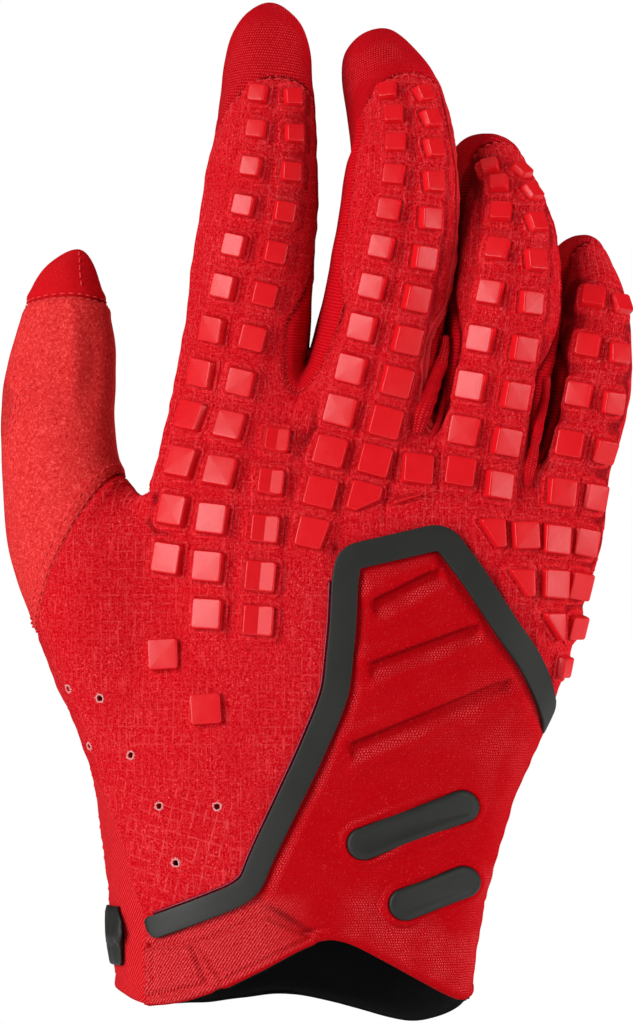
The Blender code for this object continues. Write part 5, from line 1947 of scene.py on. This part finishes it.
def bar_pieces(skin, rubber, border):
    """Two plain rounded bars, each on its own raised rim of cloth."""
    for name, node, bar in zip(("upper", "lower"), ("wrist_bar_upper", "wrist_bar_lower"), BARS):
        points, _ = rounded_rings(skin, bar_line(*bar), BAR_RINGS)
        faces = ring_faces(0, BAR_POINTS, len(BAR_RINGS))
        faces += cap_faces(points, len(points) - BAR_POINTS, BAR_POINTS)
        new_object(f"bar_{name}_rubber", points, faces, rubber, slot="rubber_black", replaces=(node,))
        points, places = rounded_rings(skin, bar_line(*bar), RIM_RINGS)
        faces = ring_faces(0, BAR_POINTS, len(RIM_RINGS))
        new_object(f"bar_{name}_rim", points, faces, border, at_corners(places, faces), "woven")


def cap_faces(points, first, count):
    """Closes a ring of points over its middle."""
    centre = np.mean(points[first:first + count], axis=0)
    points.append(centre)
    return [(first + k, first + (k + 1) % count, len(points) - 1) for k in range(count)]


def strap_path(skin):
    """Points and normals of the cuff along the strap, from the palm round to its end at the left edge."""
    axis = Vector((0.0, 0.0, up(STRAP_HEIGHT)))
    line, normals = [], []
    for k in range(STRAP_STEPS + 1):
        angle = radians(STRAP_FROM + (STRAP_TO - STRAP_FROM) * k / STRAP_STEPS)
        out = Vector((cos(angle), sin(angle), 0.0))
        found = skin.tree.ray_cast(axis + out * 0.2, -out)[0]
        line.append(np.array(found))
        normals.append(skin.frame_at(found)[1])
    return softened(line, 10), normals


def strap_tab(skin, rubber):
    """The end of the wrist strap, round the palm side to the left edge, with grip ribs near its end."""
    line, normals = strap_path(skin)
    reach = travelled(line)
    left = reach[-1] - reach
    half = 0.5 * STRAP_WIDTH
    start = np.sqrt(np.clip(1.0 - (1.0 - np.clip(reach / half, 0.0, 1.0)) ** 2, 0.06, 1.0))
    points = []
    size = len(STRAP_SECTION)
    for k, (point, normal) in enumerate(zip(line, normals)):
        along = unit(line[min(k + 1, STRAP_STEPS)] - line[max(k - 1, 0)])
        side = unit(np.cross(normal, along))
        rib = RIB_RISE * abs(sin(pi * left[k] / RIB_PITCH)) if left[k] < RIB_REACH else PLAIN_RISE
        for share, height, short in STRAP_SECTION:
            plain = min(height, STRAP_PLAIN)
            high = plain + (height - plain) * smooth((0.012 - left[k]) / 0.006)
            lift = STRAP_FOOT + high * STRAP_THICK + (rib * (1.0 - share**4) if height > 0.0 else 0.0)
            back = max(short - left[k], 0.0)
            base, _ = skin.frame_at(point - along * back + side * share * half * start[k])
            points.append(base + normal * lift)
    faces = [(a, d, c, b) for a, b, c, d in ring_faces(0, size, len(line))]
    faces += [end[::-1] for end in end_faces(size, len(points))]
    new_object("strap_end", points, faces, rubber, slot="rubber_black", replaces=("closure_tab",))


def operator(kind, reflected=False):
    """A method that adds the Math node of a Python operator."""

    def method(self, *others):
        inputs = (*others, self) if reflected else (self, *others)
        return self.nodes.node("ShaderNodeMath", {"operation": kind}, dict(enumerate(inputs)))

    return method


class Socket:
    """A socket of a node tree that works in Python expressions."""

    def __init__(self, nodes, socket):
        self.nodes = nodes
        self.socket = socket

    __add__ = operator("ADD")
    __radd__ = operator("ADD", reflected=True)
    __sub__ = operator("SUBTRACT")
    __rsub__ = operator("SUBTRACT", reflected=True)
    __mul__ = operator("MULTIPLY")
    __rmul__ = operator("MULTIPLY", reflected=True)
    __mod__ = operator("FLOORED_MODULO")
    __abs__ = operator("ABSOLUTE")
    sin = operator("SINE")
    floor = operator("FLOOR")
    power = operator("POWER")
    most = operator("MAXIMUM")

    def ramp(self, low, high, start=0.0, end=1.0):
        """Smooth step from start at low to end at high."""
        settings = {"interpolation_type": "SMOOTHSTEP"}
        return self.nodes.node("ShaderNodeMapRange", settings, {0: self, 1: low, 2: high, 3: start, 4: end})


class Nodes:
    """A node tree whose nodes all come from one method."""

    def __init__(self, tree):
        self.tree = tree

    def node(self, kind, settings=None, inputs=None, output=0):
        """The given output of a new node, after its settings and the values or links of its sockets."""
        made = self.tree.nodes.new(kind)
        for key, value in (settings or {}).items():
            setattr(made, key, value)
        for key, value in (inputs or {}).items():
            if isinstance(value, Socket):
                self.tree.links.new(value.socket, made.inputs[key])
            else:
                made.inputs[key].default_value = value
        return Socket(self, made.outputs[output])


class Paint(Nodes):
    """A material and its nodes."""

    def __init__(self, name, **values):
        self.material = bpy.data.materials.new(name)
        self.material.use_nodes = True
        super().__init__(self.material.node_tree)
        self.shader = self.tree.nodes["Principled BSDF"]
        for key, value in values.items():
            self.shader.inputs[key.replace("_", " ").title().replace("Ior", "IOR")].default_value = value
        place = self.node("ShaderNodeUVMap", {"uv_map": "UVMap"})
        self.u, self.v = (self.node("ShaderNodeSeparateXYZ", {}, {0: place}, k) for k in (0, 1))
        self.spot = self.node("ShaderNodeTexCoord", output="Object")

    def vector(self, x, y, z=0.0):
        return self.node("ShaderNodeCombineXYZ", {}, {0: x, 1: y, 2: z})

    def noise(self, place, scale=1.0, detail=2.0, rough=0.5):
        inputs = {"Vector": place, "Scale": scale, "Detail": detail, "Roughness": rough}
        return self.node("ShaderNodeTexNoise", {}, inputs)

    def grain(self, scale, detail=2.0, rough=0.5):
        """Noise that is fixed to the object."""
        return self.noise(self.spot, scale, detail, rough)

    def attribute(self, name):
        return self.node("ShaderNodeAttribute", {"attribute_name": name}, {}, 2)

    def mix(self, share, first, second):
        """Colour between two colours, each a socket or red, green and blue."""
        first, second = (c if isinstance(c, Socket) else (*c, 1.0) for c in (first, second))
        return self.node("ShaderNodeMix", {"data_type": "RGBA"}, {0: share, 6: first, 7: second}, 2)

    def finish(self, colour, rough, bump, strength, distance):
        """Leads colour, roughness and bumps to the material's shader."""
        inputs = {"Strength": strength, "Distance": distance, "Height": bump}
        normal = self.node("ShaderNodeBump", {}, inputs)
        for name, value in (("Base Color", colour), ("Roughness", rough), ("Normal", normal)):
            if value is not None:
                self.tree.links.new(value.socket, self.shader.inputs[name])
        return self.material

    def finish_cloth(self, colour, painted_shade_share, bump, strength, distance):
        """Finishes a cloth with painted shade and painted shadow: darker where the points' shade values fall
        below zero, by the given share.
        """
        depth = self.attribute("relief_and_painted_shade").ramp(-0.12, -0.5)
        return self.finish(self.mix(depth * painted_shade_share, colour, PAINTED_SHADE_RED), None, bump, strength, distance)


def turned(u, v, degrees):
    """Both directions of the cloth turned by an angle."""
    c, s = cos(radians(degrees)), sin(radians(degrees))
    return u * c + v * s, v * c - u * s


def waves(place, pitch):
    """Even waves from -1 to 1."""
    return (place * (2.0 * pi / pitch)).sin()


def melange(paint, u, v, size=0.42):
    """Light and dark flecks drawn out along both thread directions, about 0.5 in the middle."""
    warp = paint.noise(paint.vector(u * (1.0 / size), v * (0.22 / size)), 1.0, 2.0, 0.65)
    weft = paint.noise(paint.vector(u * (0.25 / size), v * (1.1 / size), 7.0), 1.0, 2.0, 0.65)
    return warp * 0.55 + weft * 0.45


def thread_grid(paint, u, v, pitch, seed, width=0.26):
    """Light threads of a ripstop grid, broken in places, upright ones stronger."""
    lines = None
    for along, other, extra, strength in ((u, v, 1.0, 1.0), (v, u, 5.0, 0.75)):
        wobble = paint.noise(paint.vector(other * 0.4, along * 0.1, seed + extra), 1.0, 1.0)
        gap = abs((along + wobble * 0.5) % pitch - 0.5 * pitch)
        broken = paint.noise(paint.vector(other * 0.45, along * 1.2, seed + extra + 2.0), 1.0, 2.0)
        line = gap.ramp(width, 0.06) * broken.ramp(0.44, 0.60) * strength
        lines = line if lines is None else lines.most(line)
    return lines


def woven_cloth(name, base, light, dark):
    """Ripstop weave with fine flecks, upright thread streaks and a pale grid that shows in places."""
    paint = Paint(name, **CLOTH)
    u, v = paint.u, paint.v
    fleck = melange(paint, u, v)
    fine = paint.noise(paint.vector(u, v), 2.1, 2.0, 0.6)
    weave = waves(u, 0.46) * waves(v, 0.46)
    colour = paint.mix((fleck * 0.5 + fine * 0.5).ramp(0.46, 0.60) * 0.42, base, light)
    colour = paint.mix((fleck * 0.4 + fine * 0.6).ramp(0.50, 0.37) * 0.95, colour, dark)
    patch_weight = paint.grain(95.0, 2.0, 0.6).ramp(0.36, 0.62, 0.30, 1.0)
    speck = paint.noise(paint.vector(u * 1.9, v * 1.3, 9.0), 1.0, 2.0, 0.7).ramp(0.57, 0.67) * patch_weight
    streak = paint.noise(paint.vector(u * 2.0, v * 0.16, 12.0), 1.0, 2.0, 0.6).ramp(0.54, 0.68) * patch_weight
    colour = paint.mix((speck * 0.72).most(streak * 0.36), colour, LIT_RED)
    patchy = paint.grain(55.0, 1.0).ramp(0.40, 0.62)
    patch = paint.attribute("patch")
    grid = thread_grid(paint, u, v, GRID_PITCH, 0.0) * (0.22 + patchy * 0.40) * (1.0 - patch)
    wide = thread_grid(paint, *turned(u, v, GRID_TURN), WIDE_PITCH, 20.0, 0.30) * patch * 0.85
    lines = grid.most(wide)
    colour = paint.mix(lines * 0.46, colour, GRID_RED)
    bump = weave * 0.3 + fleck + fine * 1.1 + lines + streak * 0.5
    return paint.finish_cloth(colour, 0.85, bump, 0.6, 0.00022)


def knit_cloth(name, base, light, dark, pitch_u=0.62, pitch_v=0.58):
    """Fine knit whose small loops stand in staggered rows, and slanting ridges where the cuff is pressed."""
    paint = Paint(name, **CLOTH)
    stray = paint.noise(paint.vector(paint.u * 0.5, paint.v * 0.5, 30.0), 1.0, 1.0)
    u, v = paint.u + stray * 0.9, paint.v + stray * 0.7
    fleck = melange(paint, u, v, 0.3)
    odd = (v * (1.0 / pitch_v)).floor() % 2.0
    y = (v * (1.0 / pitch_v)) % 1.0 - 0.5
    x = (u * (1.0 / pitch_u) + odd * 0.36 + (fleck - 0.5) * 0.35) % 1.0 - 0.5 + y * (odd * 2.0 - 1.0) * 0.40
    cell = (x * x * 1.5 + y * y * 0.8).power(0.5)
    loop = cell.ramp(0.42, 0.14) * fleck.ramp(0.40, 0.54, 0.35, 1.0)
    patchy = paint.grain(110.0, 1.0).ramp(0.40, 0.62, 0.35, 1.0)
    # Painted highlight: the loops turn lighter where the glint values say the cloth faces the light
    strong = (paint.attribute("glint") * 0.93 + 0.07) * patchy
    speck = paint.noise(paint.vector(u, v, 3.0), 2.1, 2.0, 0.6).ramp(0.60, 0.70)
    colour = paint.mix(fleck.ramp(0.52, 0.36) * 0.5, base, dark)
    twill = paint.attribute("twill")
    slant = paint.u * TWILL_ACROSS[0] + paint.v * TWILL_ACROSS[1]
    ridge = waves(slant + (fleck - 0.5) * 1.25, 0.56).ramp(-0.5, 0.9)
    ridge = ridge * twill * fleck.ramp(0.36, 0.54, 0.45, 1.0)
    loop = loop * (1.0 - twill)
    colour = paint.mix((loop * strong).most(speck * 0.15), colour, light)
    colour = paint.mix(ridge * 0.70, colour, RIDGE_RED)
    return paint.finish_cloth(colour, 0.85, fleck * 0.3 + loop * (strong * 0.8 + 0.2) + ridge, 0.6, 0.00025)


def lined_cloth(name, base, light, dark, angle, pitch, share=0.5):
    """Twill or rib: parallel ridges across the given angle."""
    paint = Paint(name, **CLOTH)
    over, along = turned(paint.u, paint.v, angle)
    fleck = melange(paint, over, along, 0.4)
    rib = waves(over + (fleck - 0.5) * 0.35, pitch)
    colour = paint.mix(rib.ramp(-0.3, 1.0) * share, base, light)
    colour = paint.mix(rib.ramp(0.0, -1.0) * share, colour, dark)
    colour = paint.mix(fleck.ramp(0.55, 0.75) * 0.5, colour, light)
    return paint.finish_cloth(colour, 0.75, rib * 0.7 + fleck, 0.6, 0.00025)


def suede_cloth(name, base, light, dark):
    paint = Paint(name, **CLOTH)
    fuzz = paint.grain(2600.0, 4.0, 0.8)
    tuft = paint.grain(1350.0, 3.0, 0.75)
    broad = paint.grain(90.0)
    colour = paint.mix((fuzz * 0.5 + tuft * 0.5).ramp(0.48, 0.64), base, light)
    colour = paint.mix((fuzz * 0.45 + tuft * 0.55).ramp(0.46, 0.36), colour, dark)
    colour = paint.mix(broad.ramp(0.50, 0.32) * 0.12, colour, dark)
    return paint.finish_cloth(colour, 0.7, fuzz * 1.0 + tuft * 1.4, 0.6, 0.00024)


def mesh_cloth(name, base, light, dark, pitch=0.66):
    """Fine mesh with rows of dots."""
    paint = Paint(name, **CLOTH)
    u, v = paint.u, paint.v
    row = (v * (1.0 / pitch)).floor()
    x = abs((u * (1.0 / pitch) + (row % 2.0) * 0.5) % 1.0 - 0.5)
    y = abs((v * (1.0 / pitch)) % 1.0 - 0.5)
    cell = (x * x + y * y).power(0.5)
    dot = cell.ramp(0.36, 0.12)
    fleck = melange(paint, u, v, 0.35)
    strong = paint.grain(70.0, 1.0).ramp(0.40, 0.60, 0.15, 1.0)
    colour = paint.mix(fleck.ramp(0.52, 0.34) * 0.5, base, dark)
    colour = paint.mix(cell.ramp(0.42, 0.60) * strong * 0.75, colour, dark)
    colour = paint.mix(dot * strong * fleck.ramp(0.40, 0.52, 0.3, 1.0) * 0.85, colour, light)
    return paint.finish_cloth(colour, 0.7, fleck * 0.6 + dot, 0.65, 0.00026)


def red_rubber(name):
    paint = Paint(name, roughness=0.34, specular_ior_level=0.34)
    grain = paint.grain(2600.0)
    broad = paint.grain(260.0)
    colour = paint.mix(broad, *BLOCK_REDS)
    return paint.finish(colour, grain.ramp(0.3, 0.7, 0.28, 0.36), grain, 0.06, 0.00006)


def dark_rubber(name):
    paint = Paint(name, roughness=0.32, specular_ior_level=0.3)
    grain = paint.grain(1800.0)
    colour = paint.mix(grain, *LIP_REDS)
    return paint.finish(colour, None, grain, 0.06, 0.00006)


def black_rubber(name):
    paint = Paint(name, roughness=0.55, specular_ior_level=0.4)
    grain = paint.grain(2200.0, 3.0)
    broad = paint.grain(90.0)
    colour = paint.mix(broad, *TRIM_BLACKS)
    return paint.finish(colour, broad.ramp(0.3, 0.7, 0.52, 0.60), grain, 0.06, 0.00004)


def lining_cloth(name):
    paint = Paint(name, **CLOTH)
    fuzz = paint.grain(1500.0, 3.0, 0.7)
    broad = paint.grain(40.0)
    colour = paint.mix(fuzz * 0.7 + broad * 0.3, *SLEEVE_BLACKS)
    return paint.finish(colour, None, fuzz, 0.3, 0.00012)


def thread(name, colour, dark):
    paint = Paint(name, roughness=0.8, specular_ior_level=0.15)
    fuzz = paint.grain(3200.0)
    return paint.finish(paint.mix(fuzz, dark, colour), None, fuzz, 0.3, 0.00008)


def lining(skin, material):
    """The black sleeve inside the cuff, as a closed double wall that hangs over the palm's hem."""
    palm = smooth((skin.normals[:, 1] + 0.1 + 0.5 * (skin.points[:, 0] > 0.0)) / 0.3)
    hang = LINING_HANG * palm * smooth((0.004 - skin.hem) / 0.003)
    flare = LINING_FLARE * palm * smooth((0.0012 - skin.hem) / 0.001) * smooth(skin.points[:, 0] / 0.01)
    spots = skin.points - np.outer(hang, (0.0, 0.0, 1.0)) + skin.normals * flare[:, None]
    panel("inner_sleeve", skin, skin.lined, material, "lining_black", "cuff_lining",
          LINING_WALL, -LINING_LIFT, spots=spots)


def split_back(skin):
    """Gives the wrist pad and the lower left side their own region numbers."""
    snap_to(skin, wrist_outline())
    snap_to(skin, side_outline())
    skin.refresh()
    middle = skin.points[skin.quads].mean(axis=1)[:, [0, 2]]
    back = skin.regions == BACK
    wrist = back & inside(middle, wrist_outline())
    side = back & ~wrist & inside(middle, side_outline())
    skin.regions = np.where(wrist, WRIST, np.where(side, SIDE, skin.regions))


def make_materials():
    """The materials of all the pieces. Cloths take the red, green and blue of base, light and dark."""
    return {
        "back": woven_cloth("red_ripstop", (0.55, 0.001, 0.007), (0.80, 0.040, 0.048), (0.38, 0.000, 0.003)),
        # The collars round the blocks take a lighter copy of the back's cloth, as a painted highlight on
        # their raised rims
        "frame": woven_cloth("red_ripstop_painted_highlight", (0.61, 0.004, 0.011), (0.86, 0.055, 0.062),
                             (0.44, 0.001, 0.004)),
        "wrist": knit_cloth("red_wrist_knit", (0.42, 0.000, 0.003), (0.94, 0.095, 0.110),
                            (0.36, 0.000, 0.002)),
        "side": lined_cloth("red_side_twill", (0.62, 0.005, 0.011), (0.88, 0.060, 0.065),
                            (0.34, 0.000, 0.004), -40.0, 0.62),
        "palm": suede_cloth("red_palm_suede", (0.60, 0.008, 0.013), (0.78, 0.035, 0.038),
                            (0.42, 0.002, 0.006)),
        "thumb": suede_cloth("red_thumb_suede", (0.64, 0.024, 0.024), (0.90, 0.090, 0.085),
                             (0.42, 0.003, 0.006)),
        "tip": knit_cloth("red_tip_knit", (0.56, 0.004, 0.008), (0.72, 0.024, 0.028),
                          (0.36, 0.000, 0.003), 0.6, 0.55),
        "gusset": lined_cloth("red_gusset_rib", (0.56, 0.001, 0.007), (0.76, 0.022, 0.028),
                              (0.36, 0.000, 0.003), 90.0, 0.74, 0.3),
        "cap": mesh_cloth("red_cap_mesh", (0.49, 0.002, 0.007), (0.84, 0.052, 0.058), (0.27, 0.000, 0.003)),
        "blocks": red_rubber("red_block_rubber"),
        "rubber": black_rubber("black_trim_rubber"),
        "lining": lining_cloth("black_sleeve_cloth"),
        "stitch": thread("red_stitch_thread", (0.84, 0.060, 0.065), (0.55, 0.006, 0.012)),
        "welt": thread("red_seam_fuzz", (0.74, 0.030, 0.036), (0.40, 0.000, 0.004)),
        "lip": dark_rubber("crimson_lip_rubber"),
        "pale": thread("pale_fray_thread", (0.80, 0.42, 0.40), (0.60, 0.14, 0.14)),
    }


def vent_frays(centres, material):
    """Frayed thread rims of the vent holes."""
    threads = Threads()
    chance = np.random.default_rng(8)
    for point, normal in centres:
        side = unit(np.cross(normal, (0.0, 0.0, 1.0)))
        other = np.cross(normal, side)
        line = []
        for k in range(VENT_POINTS):
            angle = 2.0 * pi * k / VENT_POINTS
            radius = VENT_RADIUS * 1.20 * (1.0 + chance.uniform(-0.16, 0.16))
            line.append(point + radius * (side * cos(angle) + other * sin(angle)))
        section = [circle(0.00016 * chance.uniform(0.8, 1.5), 6) for _ in line]
        threads.add(*tube(line, [normal] * VENT_POINTS, section, closed=True))
        for _ in range(VENT_THREADS):
            angle = chance.uniform(0.0, 6.28)
            out = side * cos(angle) + other * sin(angle)
            start = point + out * VENT_RADIUS * 1.1
            way = unit(out * 0.4 + np.cross(out, normal) * chance.uniform(-1.0, 1.0))
            threads.stitch(start, start + way * chance.uniform(0.0004, 0.0007), normal, 0.00011)
    new_object("vent_rims", threads.points, threads.faces, material, slot="woven")


def studio_world():
    """White to the camera, and a weak even light on the glove that its reflections see dimmer."""
    world = bpy.data.worlds.new("white_studio")
    bpy.context.scene.world = world
    world.use_nodes = True
    sky = Nodes(world.node_tree)
    seen = sky.tree.nodes["Background"]
    seen.inputs["Color"].default_value = WHITE
    seen.inputs["Strength"].default_value = 1.0
    lit = sky.node("ShaderNodeBackground", {}, {"Color": WHITE, "Strength": WORLD_LIGHT})
    dim = sky.node("ShaderNodeBackground", {}, {"Color": PALE_GREY, "Strength": DIM_LIGHT})
    mirrored = sky.node("ShaderNodeLightPath", output="Is Glossy Ray")
    looked_at = sky.node("ShaderNodeLightPath", output="Is Camera Ray")
    light = sky.node("ShaderNodeMixShader", {}, {0: mirrored, 1: lit, 2: dim})
    both = sky.node("ShaderNodeMixShader", {}, {0: looked_at, 1: light, 2: Socket(sky, seen.outputs[0])})
    sky.tree.links.new(both.socket, sky.tree.nodes["World Output"].inputs[0])


def studio_lights():
    """Round soft lights that look at the middle of the glove."""
    middle = Vector((FRAME_CENTRE[0], 0.0, FRAME_CENTRE[1]))
    for name, place, size, power in LIGHTS:
        data = bpy.data.lights.new(name, "AREA")
        data.shape = "DISK"
        data.size = size
        data.energy = power
        lamp = placed(name, data)
        lamp.location = middle + Vector(place)
        lamp.rotation_euler = Vector(place).to_track_quat("Z", "Y").to_euler()
        lamp.visible_glossy = name in MIRRORED_LIGHTS


def studio_floor():
    """A round pale floor below the glove."""
    points = [(0.0, 0.0, FLOOR_HEIGHT)]
    for radius in FLOOR_RINGS:
        points += [(x, y, FLOOR_HEIGHT) for x, y in circle(radius, FLOOR_SIDES)]
    faces = [(0, 1 + k, 1 + (k + 1) % FLOOR_SIDES) for k in range(FLOOR_SIDES)]
    faces += [(a, d, c, b) for a, b, c, d in ring_faces(1, FLOOR_SIDES, len(FLOOR_RINGS))]
    mesh = bpy.data.meshes.new("studio_floor")
    mesh.from_pydata(points, [], faces)
    paint = Paint("pale_floor", roughness=0.8, specular_ior_level=0.2)
    grain = paint.grain(900.0, 3.0)
    colour = paint.mix(grain, *FLOOR_GREYS)
    mesh.materials.append(paint.finish(colour, None, grain, 0.1, 0.0003))
    placed("studio_floor", mesh)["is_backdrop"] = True


def photo_camera():
    """The camera at the photograph's angle, far enough for its even perspective."""
    data = bpy.data.cameras.new("photo_camera")
    data.lens = LENS
    data.sensor_width = SENSOR
    data.sensor_fit = "AUTO"
    data.clip_start = 0.05
    data.clip_end = 50.0
    camera = placed("photo_camera", data)
    camera.location = (FRAME_CENTRE[0], -FRAME_HEIGHT * LENS / SENSOR, FRAME_CENTRE[1])
    camera.rotation_euler = (radians(90.0), 0.0, 0.0)
    bpy.context.scene.camera = camera


def studio():
    bpy.context.scene.view_settings.view_transform = "Standard"
    studio_world()
    studio_lights()
    studio_floor()
    photo_camera()


def glint(skin):
    """Painted highlight for the knit: how far the cloth turns up and left to the light, with a patch and a
    hem band.
    """
    turned = skin.normals @ unit(np.array(GLINT_TOWARDS))
    xz = skin.points[:, [0, 2]]
    x, z, radius = KNIT_HIGHLIGHT
    patch = np.exp(-(((xz - (across(x), up(z))) ** 2).sum(axis=1) / radius**2))
    hem = smooth((0.0150 - skin.hem) / 0.0070) * smooth(skin.hem / 0.0020)
    hem *= smooth((xz[:, 0] - across(0.06)) / 0.006)
    return np.clip(smooth((turned - 0.66) / 0.24) + 0.55 * patch + 0.8 * hem, 0.0, 1.0)


def masks(skin):
    """Where the grid of the back is turned, and where the cuff shows slanting ridges."""
    xz = skin.points[:, [0, 2]]
    facing = skin.normals[:, 1] < 0.5
    patch = smooth((0.0010 - signed_distance(xz, in_metres(GRID_PATCH))) / 0.0015) * facing
    below = smooth((up(0.135) - xz[:, 1]) / 0.004) * smooth((across(0.045) - xz[:, 0]) / 0.014)
    return {"patch": patch, "twill": below}


def raised_hem(skin):
    """Points of the skin with the palm's hem drawn up, so that the sleeve shows below it."""
    rise = HEM_RISE * smooth((skin.normals[:, 1] + 0.05) / 0.25) * smooth((0.005 - skin.hem) / 0.004)
    return skin.points + np.outer(rise, (0.0, 0.0, 1.0))


def main():
    skin = Skin(build_cage(), LEVELS)
    split_back(skin)
    widen_back(skin)
    edges = seam_points(skin)
    relax_seams(skin, edges)
    blocks = make_blocks(skin)
    paints = make_materials()
    trim_pieces(skin, paints["rubber"], paints["lip"])
    bar_pieces(skin, paints["rubber"], paints["wrist"])
    strap_tab(skin, paints["rubber"])
    skin.refine(skin.regions == WRIST)
    skin.hem = edge_distance(skin)
    relief_and_painted_shade, shade = shape_skin(skin, edges, blocks)
    skin.points += skin.normals * relief_and_painted_shade[:, None]
    skin.refresh()
    # Painted shade and painted shadow go to the cloth as the first value, and a painted highlight of the knit
    # as glint
    fields = {"relief_and_painted_shade": shade, "glint": glint(skin), **masks(skin)}
    seam_threads(skin, edges, paints["stitch"])
    welts(skin, edges, paints["welt"])
    folds(skin, paints["cap"])
    block_field(skin, blocks, paints["blocks"])
    block_collars(skin, blocks, paints["frame"])
    centres = punch_vents(skin)
    vent_frays(centres, paints["pale"])
    spots = raised_hem(skin)
    for name, region, paint, slot, node in PANELS:
        panel(name, skin, skin.regions == region, paints[paint], slot, node, fields=fields, spots=spots)
    lining(skin, paints["lining"])
    studio()


main()

VISUAL_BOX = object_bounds()
boxes = [[list(corner) for corner in box] for box in (CAD_BOX, VISUAL_BOX)]
